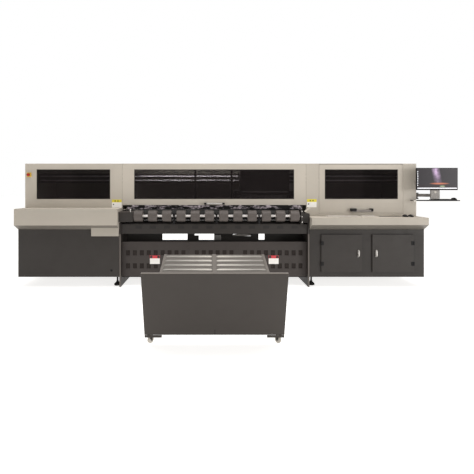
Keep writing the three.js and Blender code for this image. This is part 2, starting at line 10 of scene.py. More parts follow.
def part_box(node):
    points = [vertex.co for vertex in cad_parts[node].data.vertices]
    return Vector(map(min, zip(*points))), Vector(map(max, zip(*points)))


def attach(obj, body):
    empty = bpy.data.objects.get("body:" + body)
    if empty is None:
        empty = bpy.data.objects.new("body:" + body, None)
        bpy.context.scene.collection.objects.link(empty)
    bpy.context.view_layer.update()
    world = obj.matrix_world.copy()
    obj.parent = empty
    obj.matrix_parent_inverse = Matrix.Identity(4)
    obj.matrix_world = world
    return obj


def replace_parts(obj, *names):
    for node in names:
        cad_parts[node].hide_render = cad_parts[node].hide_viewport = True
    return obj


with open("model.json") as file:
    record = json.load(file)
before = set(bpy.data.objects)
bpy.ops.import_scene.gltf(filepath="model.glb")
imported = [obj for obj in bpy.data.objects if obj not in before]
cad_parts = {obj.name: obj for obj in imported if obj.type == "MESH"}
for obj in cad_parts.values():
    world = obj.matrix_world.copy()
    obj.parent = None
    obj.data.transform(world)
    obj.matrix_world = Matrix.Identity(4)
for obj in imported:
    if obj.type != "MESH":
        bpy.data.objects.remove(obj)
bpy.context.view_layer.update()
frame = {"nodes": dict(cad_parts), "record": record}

rng = random.Random(7)
record = frame["record"]
body_of = {n: body for body, nodes in record["behaviour"]["bodies"].items() for n in nodes}
slot_of = {part["node"]: part["material_slot"] for part in record["subparts"]}
MM = 0.001


# ------------------------------------------------------------------ materials
def srgb(red, green, blue):
    """A colour given as 0 to 255 screen values, as the shader's linear one."""
    def channel(value):
        value /= 255
        return value / 12.92 if value <= 0.04045 else ((value + 0.055) / 1.055) ** 2.4
    return (channel(red), channel(green), channel(blue), 1.0)


def shade(colour, factor):
    return tuple(min(1.0, c * factor) for c in colour[:3]) + (1.0,)


class Graph:
    """One node material under construction."""

    def __init__(self, name, **constants):
        self.material = bpy.data.materials.new(name)
        self.material.use_nodes = True
        self.tree = self.material.node_tree
        self.shader = self.tree.nodes["Principled BSDF"]
        self.place = self.node("ShaderNodeTexCoord").outputs["Object"]
        for socket, value in constants.items():
            self.shader.inputs[socket.replace("_", " ")].default_value = value

    def node(self, kind, inputs=None, **settings):
        made = self.tree.nodes.new(kind)
        for key, value in settings.items():
            setattr(made, key, value)
        for key, value in (inputs or {}).items():
            self.feed(made.inputs[key], value)
        return made

    def feed(self, socket, value):
        if isinstance(value, bpy.types.NodeSocket):
            self.tree.links.new(value, socket)
        else:
            socket.default_value = value

    def stretched(self, scale):
        return self.node("ShaderNodeMapping", {"Vector": self.place, "Scale": scale}).outputs["Vector"]

    def noise(self, scale, detail=2.0, vector=None):
        inputs = {"Vector": vector or self.place, "Scale": scale, "Detail": detail}
        return self.node("ShaderNodeTexNoise", inputs).outputs["Fac"]

    def axis(self, name):
        return self.node("ShaderNodeSeparateXYZ", {"Vector": self.place}).outputs[name]

    def span(self, value, low, high, to_low=0.0, to_high=1.0):
        inputs = {"Value": value, "From Min": low, "From Max": high, "To Min": to_low, "To Max": to_high}
        return self.node("ShaderNodeMapRange", inputs).outputs["Result"]

    def math(self, operation, *values):
        return self.node("ShaderNodeMath", dict(enumerate(values)), operation=operation).outputs[0]

    def mix(self, factor, first, second):
        made = self.node("ShaderNodeMix", data_type="RGBA")
        for index, value in ((0, factor), (6, first), (7, second)):
            self.feed(made.inputs[index], value)
        return made.outputs[2]

    def bump(self, height, strength, distance):
        inputs = {"Height": height, "Strength": strength, "Distance": distance}
        self.feed(self.shader.inputs["Normal"], self.node("ShaderNodeBump", inputs).outputs["Normal"])

    def finish(self, colour=None, roughness=None):
        if colour is not None:
            self.feed(self.shader.inputs["Base Color"], colour)
        if roughness is not None:
            self.feed(self.shader.inputs["Roughness"], roughness)
        return self.material


def powder_coat(name, colour, rough, texture=0.10, edge=1.5):
    """Sprayed paint: clouds, orange-peel grain, rubbed edges, painted shade on faces that look down and a
    painted highlight on faces that look up.
    """
    g = Graph(name, Specular_IOR_Level=0.3)
    clouds = g.noise(1.3, 3)
    smudges = g.noise(9, 6)
    paint = g.mix(g.span(clouds, 0.35, 0.65), shade(colour, 0.95), shade(colour, 1.04))
    paint = g.mix(g.span(smudges, 0.45, 0.8, 0, 0.25), paint, shade(colour, 0.86))
    worn = g.span(g.node("ShaderNodeNewGeometry").outputs["Pointiness"], 0.52, 0.6, 0, 0.55)
    paint = g.mix(worn, paint, shade(colour, edge))
    dusty = g.span(g.axis("Z"), 0.30, 0.02, 0, 0.2)
    paint = g.mix(dusty, paint, shade(colour, 1.2))
    facing = g.node("ShaderNodeSeparateXYZ", {"Vector": g.node("ShaderNodeNewGeometry").outputs["Normal"]})
    # Faces that look down are darkened: painted shade.
    painted_underside_shade = g.span(facing.outputs["Z"], -0.3, -0.7, 0, 0.9)
    paint = g.mix(painted_underside_shade, paint, shade(colour, 0.36))
    # Faces that look up are lightened: a painted highlight.
    painted_top_highlight = g.span(facing.outputs["Z"], 0.6, 0.9, 0, 0.7)
    paint = g.mix(painted_top_highlight, paint, shade(colour, 1.65))
    g.bump(g.noise(520, 3), texture, 0.0006)
    return g.finish(paint, g.span(smudges, 0.3, 0.75, rough - 0.06, rough + 0.09))


def brushed_metal(name, colour, rough, stretch=(1, 60, 60), scale=18, metallic=1.0, highlight_x=None):
    """Metal with a fine grain; given highlight_x, it has a painted highlight near that X and painted shade
    away from it.
    """
    g = Graph(name, Metallic=metallic)
    grain = g.noise(scale, 6, g.stretched(stretch))
    stains = g.noise(14, 5)
    metal = g.mix(g.span(grain, 0.3, 0.7), shade(colour, 0.86), shade(colour, 1.1))
    metal = g.mix(g.span(stains, 0.5, 0.8, 0, 0.35), metal, shade(colour, 0.7))
    if highlight_x is not None:
        # Painted highlight near highlight_x, fading to painted shade away from it.
        away = g.math("ABSOLUTE", g.math("SUBTRACT", g.axis("X"), highlight_x))
        metal = g.mix(g.span(away, 0.05, 0.34, 0, 0.8), metal, shade(colour, 0.4))
    g.bump(grain, 0.06, 0.0004)
    return g.finish(metal, g.span(grain, 0.3, 0.7, rough - 0.07, rough + 0.1))


def moulded(name, colour, rough, grain=0.10, scale=420):
    """Moulded plastic or rubber: leather-like grain, greasy smudges."""
    g = Graph(name, Specular_IOR_Level=0.25)
    smudges = g.noise(11, 5)
    tint = g.mix(g.span(smudges, 0.35, 0.75), shade(colour, 1.1), shade(colour, 0.85))
    g.bump(g.noise(scale, 3), grain, 0.0005)
    return g.finish(tint, g.span(smudges, 0.3, 0.7, rough - 0.08, rough + 0.08))


def tyre_rubber(name, colour):
    """Ground roller rubber: fine turned grooves and a mottled, chalky face."""
    g = Graph(name, Specular_IOR_Level=0.35)
    mottle = g.noise(160, 4)
    broad = g.noise(22, 4)
    tint = g.mix(g.span(mottle, 0.35, 0.7), shade(colour, 0.78), shade(colour, 1.22))
    tint = g.mix(g.span(broad, 0.4, 0.75, 0, 0.4), tint, shade(colour, 1.35))
    grooves = g.math("SINE", g.math("MULTIPLY", g.axis("X"), 2400.0))
    g.bump(g.math("ADD", g.math("MULTIPLY", grooves, 0.3), mottle), 0.35, 0.0008)
    return g.finish(tint, g.span(mottle, 0.3, 0.7, 0.42, 0.62))


def tinted_glass(name, depth):
    """See-through dark glass with a faint film of dirt; depth scales its colour."""
    g = Graph(name, Specular_IOR_Level=0.12, Alpha=0.58)
    film = g.noise(3, 5)
    tint = g.mix(film, shade(srgb(24, 20, 20), depth), shade(srgb(34, 29, 29), depth))
    return g.finish(tint, g.span(g.noise(40, 5), 0.4, 0.8, 0.05, 0.13))


def belt_weave(name):
    """A woven belt face with a grid of vacuum holes."""
    g = Graph(name, Specular_IOR_Level=0.3)
    pitch = 0.025

    def cell(letter):
        turns = g.math("FRACT", g.math("DIVIDE", g.axis(letter), pitch))
        return g.math("POWER", g.math("SUBTRACT", turns, 0.5), 2.0)
    hole = g.math("LESS_THAN", g.math("ADD", cell("X"), cell("Y")), 0.02)
    warp = g.math("SINE", g.math("MULTIPLY", g.axis("X"), 3800.0))
    weft = g.math("SINE", g.math("MULTIPLY", g.axis("Y"), 3800.0))
    weave = g.math("MULTIPLY", warp, weft)
    cloth = g.mix(g.span(weave, -1, 1), srgb(44, 43, 42), srgb(62, 60, 58))
    stains = g.noise(5, 6)
    cloth = g.mix(g.span(stains, 0.55, 0.75, 0, 0.4), cloth, srgb(30, 31, 36))
    g.bump(weave, 0.3, 0.0004)
    return g.finish(g.mix(hole, cloth, srgb(8, 8, 8)), 0.72)


def printed_block(name, colour):
    """A flat printed colour with a trace of scuffing."""
    g = Graph(name, Specular_IOR_Level=0.5)
    scuffs = g.noise(150, 5)
    return g.finish(g.mix(g.span(scuffs, 0.5, 0.8, 0, 0.2), colour, shade(colour, 0.8)),
                    g.span(scuffs, 0.3, 0.8, 0.3, 0.5))


def away_from(g, across, up, spot, flatten):
    """Squared distance from a spot on the screen, with the height stretched."""
    aside = g.math("POWER", g.math("SUBTRACT", across, spot[0]), 2.0)
    above = g.math("POWER", g.math("SUBTRACT", up, spot[1]), 2.0)
    return g.math("ADD", aside, g.math("MULTIPLY", above, flatten))


def screen_picture(name, low, high):
    """A lit desktop: a dark sky with a soft streak of light and a warm horizon glow."""
    g = Graph(name, Roughness=0.35, Specular_IOR_Level=0.2)
    across = g.span(g.axis("X"), low.x, high.x)
    up = g.span(g.axis("Z"), low.z, high.z)
    haze = g.noise(7, 5)
    sky = g.mix(haze, srgb(24, 17, 22), srgb(44, 34, 40))
    lean = g.math("ADD", across, g.math("MULTIPLY", up, 0.10))
    away = g.math("ABSOLUTE", g.math("SUBTRACT", lean, 0.555))
    streak = g.math("MULTIPLY", g.span(away, 0.11, 0.0), g.span(up, 0.2, 0.75))
    streak = g.math("MULTIPLY", streak, g.span(g.noise(26, 4), 0.3, 0.65, 0.35, 1.0))
    sky = g.mix(streak, sky, srgb(240, 205, 246))
    glow = g.span(away_from(g, across, up, (0.56, 0.26), 24.0), 0.07, 0.0, 0, 0.9)
    sky = g.mix(glow, sky, srgb(232, 132, 92))
    sky = g.mix(g.math("LESS_THAN", up, 0.21), sky, srgb(34, 22, 26))
    spot = g.span(away_from(g, across, up, (0.63, 0.13), 4.0), 0.006, 0.002)
    sky = g.mix(spot, sky, srgb(176, 190, 150))
    g.feed(g.shader.inputs["Emission Color"], sky)
    g.shader.inputs["Emission Strength"].default_value = 0.85
    return g.finish(srgb(12, 12, 14))


def crumpled_film(name):
    """Dark aluminised film with painted highlights on its creases."""
    g = Graph(name, Metallic=0.55, Specular_IOR_Level=0.5)
    folds = g.noise(11, 7, g.stretched((1, 1, 3)))
    creases = g.noise(34, 5, g.stretched((1, 1, 2)))
    # The pale patches on the creases are painted highlights.
    painted_glints = g.math("MULTIPLY", g.span(folds, 0.46, 0.60), g.span(creases, 0.38, 0.55))
    film = g.mix(painted_glints, srgb(24, 21, 22), srgb(206, 194, 200))
    g.bump(creases, 0.5, 0.004)
    return g.finish(film, g.span(folds, 0.4, 0.7, 0.55, 0.2))


WARM_GREY = srgb(178, 170, 158)
CHARCOAL = srgb(47, 43, 40)
DECK_MIDDLE = (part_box("cart_deck")[0].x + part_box("cart_deck")[1].x) / 2
finishes = {
    "cover_paint": powder_coat("cover_paint", WARM_GREY, 0.46, 0.08, 1.18),
    "cabinet_paint": powder_coat("cabinet_paint", CHARCOAL, 0.5),
    "frame_paint": powder_coat("frame_paint", srgb(45, 41, 38), 0.5),
    "vent_paint": powder_coat("vent_paint", srgb(60, 54, 51), 0.55),
    "panel_paint": powder_coat("panel_paint", srgb(57, 52, 48), 0.42, 0.06),
    "tinted_glass": tinted_glass("tinted_glass", 1.0),
    "rubber": tyre_rubber("roller_rubber", srgb(86, 79, 75)),
    "dark_rubber": moulded("dark_rubber", srgb(34, 32, 31), 0.75, 0.2, 260),
    "steel": brushed_metal("steel", srgb(205, 201, 196), 0.28),
    "aluminium": brushed_metal("aluminium", srgb(176, 173, 170), 0.36),
    "belt_cloth": belt_weave("belt_weave"),
    "black_plastic": moulded("black_plastic", srgb(26, 24, 25), 0.6),
    "silver_plastic": moulded("silver_plastic", srgb(132, 126, 121), 0.35, 0.05),
    "sign_yellow": printed_block("sign_yellow", srgb(206, 168, 62)),
    "sign_red": moulded("sign_red", srgb(158, 38, 30), 0.3, 0.02),
    "deck_steel": brushed_metal("deck_steel", srgb(108, 102, 95), 0.5, (1, 40, 40), 30, 0.3),
    "wheel_plastic": moulded("wheel_plastic", srgb(196, 190, 180), 0.45, 0.05),
}
extra = {
    "label_white": printed_block("label_white", srgb(232, 228, 222)),
    "label_yellow": printed_block("label_yellow", srgb(216, 200, 52)),
    "label_red": printed_block("label_red", srgb(196, 54, 62)),
    "label_black": printed_block("label_black", srgb(26, 24, 24)),
    "dark_pane": tinted_glass("dark_pane", 0.6),
    # Lighter than the frame paint: a painted highlight for the legs' front edges.
    "leg_edge": powder_coat("leg_edge", srgb(88, 82, 77), 0.5),
    # The cover paint made darker for the consoles: painted shade.
    "shaded_cover_paint": powder_coat("shaded_cover_paint", shade(WARM_GREY, 0.86), 0.46, 0.08, 1.18),
    "hinge_black": moulded("hinge_black", srgb(15, 14, 14), 0.6),
    # Darker beam paint for the painted reflections of the rollers.
    "painted_roller_reflection": powder_coat("painted_roller_reflection", srgb(36, 33, 31), 0.6),
    "shaft_steel": brushed_metal("shaft_steel", srgb(240, 234, 230), 0.4, (60, 1, 1), 18, 0.15),
    "rail_steel": brushed_metal("rail_steel", srgb(226, 218, 222), 0.5, (1, 60, 60), 18, 0.3),
    "filter_mat": moulded("filter_mat", srgb(46, 40, 37), 0.9, 0.6, 90),
    "film": crumpled_film("crumpled_film"),
    "hose_grey": moulded("hose_grey", srgb(178, 172, 165), 0.5),
    # The ribs get a painted highlight next to the deck's middle.
    "rib_steel": brushed_metal("rib_steel", srgb(198, 192, 183), 0.34, (1, 40, 40), 30, 0.4,
                               highlight_x=DECK_MIDDLE),
    "deck_rail": brushed_metal("deck_rail", srgb(120, 113, 106), 0.45, (40, 1, 40), 24, 0.3),
    "pale_keys": moulded("pale_keys", srgb(206, 198, 190), 0.4, 0.05),
}


# ------------------------------------------------------------------ mesh code
def add_box(bm, low, high):
    low, high = Vector(low), Vector(high)
    size = high - low
    made = bmesh.ops.create_cube(bm, size=1.0, matrix=Matrix.Translation((low + high) / 2)
                                 @ Matrix.Diagonal((*size, 1.0)))
    return made["verts"]


def add_ring(bm, centre, across, up, radius, segments):
    """The corners of a regular polygon about centre, in the plane of across and up."""
    turns = [2 * math.pi * k / segments for k in range(segments)]
    return [bm.verts.new(centre + (across * math.cos(t) + up * math.sin(t)) * radius) for t in turns]


def add_lathe(bm, profile, axis, centre, segments=48):
    """Turns [radius, height] points about an axis through centre; the profile closes on itself."""
    frame_of = {
        "x": (Vector((0, 1, 0)), Vector((0, 0, 1)), Vector((1, 0, 0))),
        "y": (Vector((0, 0, 1)), Vector((1, 0, 0)), Vector((0, 1, 0))),
        "z": (Vector((1, 0, 0)), Vector((0, 1, 0)), Vector((0, 0, 1))),
    }
    across, up, along = frame_of[axis]
    centre = Vector(centre)
    rings = []
    for radius, height in profile:
        if radius < 1e-7:
            rings.append([bm.verts.new(centre + along * height)])
            continue
        rings.append(add_ring(bm, centre + along * height, across, up, radius, segments))
    pairs = list(zip(rings, rings[1:]))
    if len(rings[0]) > 1:
        pairs.append((rings[-1], rings[0]))
    for one, two in pairs:
        for k in range(segments):
            following = (k + 1) % segments
            corners = [one[k % len(one)], one[following % len(one)],
                       two[following % len(two)], two[k % len(two)]]
            distinct = list(dict.fromkeys(corners))
            if len(distinct) > 2:
                bm.faces.new(distinct)


def add_tube(bm, path, radius, sides=12):
    """A round bar along a list of points, with flat ends."""
    path = [Vector(p) for p in path]
    rings = []
    for i, point in enumerate(path):
        ahead = path[min(i + 1, len(path) - 1)] - path[max(i - 1, 0)]
        along = ahead.normalized()
        across = along.cross(Vector((0.31, 0.17, 0.93))).normalized()
        up = along.cross(across)
        rings.append(add_ring(bm, point, across, up, radius, sides))
    for one, two in zip(rings, rings[1:]):
        for k in range(sides):
            bm.faces.new((one[k], one[(k + 1) % sides], two[(k + 1) % sides], two[k]))
    bm.faces.new(rings[0])
    bm.faces.new(rings[-1])


def add_piece(name, bm, material, body, slot, bevel=0.0, segments=2, smooth_angle=40):
    """Makes an object of the mesh, rounds its edges and lets it ride on a CAD body."""
    bmesh.ops.recalc_face_normals(bm, faces=bm.faces)
    if bevel:
        corners = [e for e in bm.edges if e.calc_face_angle(0.0) > 0.7]
        bmesh.ops.bevel(bm, geom=corners, offset=bevel, segments=segments, profile=0.5, affect="EDGES",
                        clamp_overlap=True)
    mesh = bpy.data.meshes.new(name)
    bm.to_mesh(mesh)
    bm.free()
    made = bpy.data.objects.new(name, mesh)
    bpy.context.scene.collection.objects.link(made)
    mesh.materials.append(material)
    mesh.shade_smooth()
    mesh.set_sharp_from_angle(angle=math.radians(smooth_angle))
    made.modifiers.new("flat_faces", "WEIGHTED_NORMAL").keep_sharp = True
    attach(made, body)
    return made


def joint_of(name):
    return next(joint for joint in record["behaviour"]["joints"] if joint["name"] == name)


def joint_place(name):
    return Vector(joint_of(name)["pos_m"])


def joint_heading(name):
    """The turn about Z that takes +X to a level joint axis."""
    axis = joint_of(name)["axis"]
    return math.atan2(axis[1], axis[0])


def boxes(name, spans, material, body, slot, bevel=0.0, **options):
    bm = bmesh.new()
    for low, high in spans:
        add_box(bm, low, high)
    return add_piece(name, bm, material, body, slot, bevel, **options)


def lathes(name, parts, material, body, slot, segments=48):
    bm = bmesh.new()
    for profile, axis, centre in parts:
        add_lathe(bm, profile, axis, centre, segments)
    return add_piece(name, bm, material, body, slot)


def refined(node, width, material=None):
    """The CAD node's own shape with rounded edges, in place of the node."""
    bm = bmesh.new()
    bm.from_mesh(frame["nodes"][node].data)
    bmesh.ops.remove_doubles(bm, verts=bm.verts, dist=1e-5)
    slot = slot_of[node]
    made = add_piece(f"{node}_body", bm, material or finishes[slot], body_of[node], slot, width)
    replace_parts(made, node)
    return made


def button_heads(name, spots, axis, material, body, slot, radius=6 * MM):
    """Domed screw heads with a socket; each spot is the centre of the face that it sits on."""
    out = -1 if axis.startswith("-") else 1
    rise = radius * 0.55
    profile = [(0, 0), (radius, 0), (radius * 0.96, rise * 0.45), (radius * 0.7, rise * 0.9),
               (radius * 0.45, rise), (radius * 0.42, rise * 0.35), (0, rise * 0.35)]
    turned = [(r, h * out) for r, h in profile]
    return lathes(name, [(turned, axis[-1], spot) for spot in spots], material, body, slot, 16)


# ------------------------------------------------------------------ camera, light, floor
def set_stage():
    lens_width = 36.0
    photo = 474
    focal = 360
    camera_data = bpy.data.cameras.new("camera")
    camera_data.sensor_width = lens_width
    camera_data.lens = lens_width * focal / photo
    camera_data.shift_x = (photo / 2 - 210) / photo
    camera_data.shift_y = (187 - photo / 2) / photo
    camera = bpy.data.objects.new("camera", camera_data)
    camera.location = (-0.400, -4.482, 1.357)
    camera.rotation_euler = (math.pi / 2, 0, 0)
    bpy.context.scene.collection.objects.link(camera)
    bpy.context.scene.camera = camera

    world = bpy.data.worlds.new("studio")
    world.use_nodes = True
    nodes, links = world.node_tree.nodes, world.node_tree.links
    backdrop = nodes["Background"]
    backdrop.inputs["Color"].default_value = (1.0, 1.0, 1.0, 1.0)
    fill = nodes.new("ShaderNodeBackground")
    fill.inputs["Color"].default_value = (1.0, 0.98, 0.955, 1.0)
    fill.inputs["Strength"].default_value = 0.36
    choose = nodes.new("ShaderNodeMixShader")
    links.new(nodes.new("ShaderNodeLightPath").outputs["Is Camera Ray"], choose.inputs[0])
    links.new(fill.outputs[0], choose.inputs[1])
    links.new(backdrop.outputs[0], choose.inputs[2])
    links.new(choose.outputs[0], nodes["World Output"].inputs["Surface"])
    bpy.context.scene.world = world
    bpy.context.scene.view_settings.view_transform = "Standard"

    def soft_box(name, place, target, size, power):
        light = bpy.data.lights.new(name, "AREA")
        light.shape = "RECTANGLE"
        light.size, light.size_y = size
        light.energy = power
        lamp = bpy.data.objects.new(name, light)
        lamp.location = place
        lamp.rotation_euler = (Vector(target) - Vector(place)).to_track_quat("-Z", "Y").to_euler()
        bpy.context.scene.collection.objects.link(lamp)
    soft_box("right", (8.5, -6.5, 1.8), (0.4, 0.4, 0.9), (3.0, 3.2), 340)
    soft_box("left", (-8.5, -6.5, 1.8), (-0.4, 0.4, 0.9), (3.0, 3.2), 50)
    soft_box("overhead", (0.3, -0.2, 4.6), (0.3, -0.2, 0.0), (8.0, 3.0), 200)
    soft_box("rear", (-2.5, 8.0, 2.6), (0.0, 1.2, 0.8), (6.0, 3.0), 130)
    soft_box("bay_lamp", (-0.75, 0.70, 1.655), (-0.75, 0.93, 1.48), (1.5, 0.04), 7)

    floor = bmesh.new()
    bmesh.ops.create_grid(floor, x_segments=1, y_segments=1, size=40)
    mesh = bpy.data.meshes.new("floor")
    floor.to_mesh(mesh)
    floor.free()
    ground = bpy.data.objects.new("floor", mesh)
    bpy.context.scene.collection.objects.link(ground)
    g = Graph("floor_paint", Roughness=0.9, Emission_Strength=0.8, Emission_Color=(1.0, 0.99, 0.975, 1.0))
    mesh.materials.append(g.finish(g.mix(g.noise(0.5, 2), srgb(214, 213, 211), srgb(218, 217, 216))))


# ------------------------------------------------------------------ casing
def casing():
    widths = {
        "base_frame": 1.5, "front_beam": 3, "left_cabinet": 3, "right_cabinet": 3,
        "left_cover": 3, "middle_cover": 2.5, "right_cover": 3,
        "lid": 2.5, "access_door": 2, "drive_box": 3, "end_box": 2, "e_stop_plate": 2,
        "guide_beam": 3, "vacuum_table": 1,
        "carriage": 2, "print_head_block": 1, "uv_lamp_left": 2, "uv_lamp_right": 2,
        "monitor_bracket": 1.5, "monitor_arm": 2, "keyboard_shelf": 1.5, "monitor": 2.5,
        "cart_frame": 2, "cart_panel": 2.5,
        "bearing_post_1": 2, "bearing_post_2": 2, "bearing_post_3": 2,
        "vent_panel_left": 0.8, "vent_panel_middle": 0.8, "vent_panel_right": 0.8,
    }
    for node, width in widths.items():
        refined(node, width * MM)
    # The consoles take the darker copy of the cover paint: painted shade.
    for node in ("left_console", "right_console"):
        refined(node, 5 * MM, material=extra["shaded_cover_paint"])
    for node in ("linear_rail_lower", "linear_rail_upper"):
        refined(node, 2 * MM, material=extra["rail_steel"])


def window(node, split=None):
    """A dark pane in a thin rubber seal, with a seam where two panes meet."""
    low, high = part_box(node)
    edges = [low.x, high.x] if split is None else [low.x, split, high.x]
    for index, (left, right) in enumerate(zip(edges, edges[1:])):
        glass = extra["dark_pane"] if index else finishes["tinted_glass"]
        pane = boxes(f"{node}_pane_{index + 1}", [((left, low.y, low.z), (right, high.y, high.z))],
                     glass, body_of[node], "tinted_glass")
        if index == 0:
            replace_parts(pane, node)
    rim, front = 7 * MM, low.y - 1.8 * MM
    back = low.y + 1.5 * MM
    strips = [
        ((low.x - 2 * MM, front, high.z - rim), (high.x + 2 * MM, back, high.z + 2 * MM)),
        ((low.x - 2 * MM, front, low.z - 2 * MM), (high.x + 2 * MM, back, low.z + rim)),
        ((low.x - 2 * MM, front, low.z + rim), (low.x + rim, back, high.z - rim)),
        ((high.x - rim, front, low.z + rim), (high.x + 2 * MM, back, high.z - rim)),
    ]
    boxes(f"{node}_seal", strips, finishes["dark_rubber"], body_of[node], "dark_rubber", 0.6 * MM)


def windows():
    left_low, left_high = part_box("left_window")
    right_low, right_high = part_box("access_window")
    window("left_window", left_low.x + 0.488 * (left_high.x - left_low.x))
    window("lid_window")
    window("access_window", right_low.x + 0.522 * (right_high.x - right_low.x))
    low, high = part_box("lid_window")
    for index, x in enumerate((-0.605, -0.096)):
        boxes(f"lid_stiffener_{index + 1}", [((x - 14 * MM, high.y + 2 * MM, low.z - 30 * MM),
                                              (x + 14 * MM, high.y + 26 * MM, high.z + 30 * MM))],
              finishes["frame_paint"], "lid", "frame_paint", 2 * MM)


def grab_handle(node, metal, bar_tall, end_tall, left_block, right_block):
    """A rounded bar between two black end blocks; the heights are its lower and upper edge."""
    low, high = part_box(node)
    bar = boxes(f"{node}_bar", [((low.x + 8 * MM, low.y + 1 * MM, bar_tall[0]),
                                 (high.x - 8 * MM, low.y + 17 * MM, bar_tall[1]))],
                metal, body_of[node], slot_of[node], 7 * MM, segments=5)
    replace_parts(bar, node)
    ends = [((low.x, low.y - 1 * MM, end_tall[0]), (low.x + left_block, high.y, end_tall[1])),
            ((high.x - right_block, low.y - 1 * MM, end_tall[0]), (high.x, high.y, end_tall[1]))]
    boxes(f"{node}_ends", ends, finishes["black_plastic"], body_of[node], "black_plastic", 4 * MM,
          segments=3)


def warning_label(name, body, across, tall, face_y, header, spots):
    """Two colour fields with plain round marks and no lettering."""
    left, right = across
    bottom, top = tall
    band = bottom + 0.66 * (top - bottom)
    sheet = 0.5 * MM
    boxes(f"{name}_field", [((left, face_y - sheet, bottom), (right, face_y, band))],
          extra["label_white"], body, "wheel_plastic", 0.1 * MM)
    boxes(f"{name}_header", [((left, face_y - sheet, band), (right, face_y, top))],
          extra[header], body, "sign_yellow" if header == "label_yellow" else "sign_red", 0.1 * MM)
    marks = []
    for share_x, share_z, radius in spots:
        centre = (left + share_x * (right - left), face_y - sheet, bottom + share_z * (top - bottom))
        marks.append(([(0, 0), (radius, 0), (radius, -0.3 * MM), (0, -0.3 * MM)], "y", centre))
    lathes(f"{name}_marks", marks, extra["label_black"], body, "black_plastic", 20)


def labels():
    cover_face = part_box("left_cover")[0].y
    vent_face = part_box("vent_panel_left")[0].y
    left_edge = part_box("left_cover")[1].x
    right_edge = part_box("right_cover")[0].x
    dots = [(0.33, 0.82, 9 * MM), (0.62, 0.82, 9 * MM), (0.16, 0.40, 9 * MM)]
    warning_label("left_warning", "machine", (left_edge - 0.146, left_edge - 0.010), (1.0685, 1.181),
                  cover_face, "label_yellow", dots)
    warning_label("right_warning", "machine", (right_edge + 0.013, right_edge + 0.147), (1.074, 1.186),
                  cover_face, "label_yellow", dots)
    corners = [(0.14, 0.83, 18 * MM), (0.86, 0.83, 18 * MM)]
    for side, centre in (("left", -1.155), ("right", 0.472)):
        warning_label(f"vent_warning_{side}", "machine", (centre - 0.068, centre + 0.068), (0.303, 0.418),
                      vent_face, "label_red", corners)


def cabinet_fittings():
    """Hinges, pull handles and the lock."""
    for side in ("left", "right"):
        node = f"cabinet_door_{side}"
        low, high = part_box(node)
        face = low.y + 26 * MM
        handle_x = high.x - 0.049 if side == "left" else low.x + 0.052
        hinge_x = low.x if side == "left" else high.x
        axis = joint_place(f"{node}_hinge")
        panel = boxes(f"{node}_panel", [((low.x, face, low.z), (high.x, high.y, high.z))],
                      finishes["cabinet_paint"], node, "cabinet_paint", 3 * MM)
        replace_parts(panel, node)
        bm = bmesh.new()
        top, bottom = 0.506, 0.421
        reach = face - 24 * MM
        add_tube(bm, [(handle_x, face, bottom + 6 * MM), (handle_x, reach + 6 * MM, bottom + 6 * MM),
                      (handle_x, reach, bottom + 12 * MM), (handle_x, reach, top - 12 * MM),
                      (handle_x, reach + 6 * MM, top - 6 * MM), (handle_x, face, top - 6 * MM)], 7 * MM, 16)
        add_box(bm, (handle_x - 10 * MM, face - 3 * MM, bottom - 4 * MM),
                (handle_x + 10 * MM, face, top + 4 * MM))
        add_piece(f"{node}_handle", bm, finishes["steel"], node, "steel", 1 * MM)
        leaves, barrels = [], []
        inward = 1 if side == "left" else -1
        for z in (0.601, 0.324):
            span = sorted((axis.x, hinge_x + inward * 32 * MM))
            leaves.append(((span[0], face - 4 * MM, z - 26 * MM), (span[1], face, z + 26 * MM)))
            barrels.append(([(0, -26 * MM), (5.5 * MM, -26 * MM), (6 * MM, -25 * MM), (6 * MM, 25 * MM),
                             (5.5 * MM, 26 * MM), (0, 26 * MM)], "z", (axis.x, axis.y, z)))
        boxes(f"{node}_hinge_leaves", leaves, extra["hinge_black"], node, "black_plastic", 1 * MM)
        lathes(f"{node}_hinge_barrels", barrels, extra["hinge_black"], "machine", "black_plastic", 20)
    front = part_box("left_cabinet")[0].y
    lock = [(0, 0), (15 * MM, 0), (15 * MM, -3 * MM), (12 * MM, -5 * MM), (5 * MM, -5 * MM),
            (4 * MM, -2 * MM), (0, -2 * MM)]
    lathes("panel_lock", [(lock, "y", (-1.730, front, 0.230))], extra["hinge_black"], "machine",
           "black_plastic", 32)


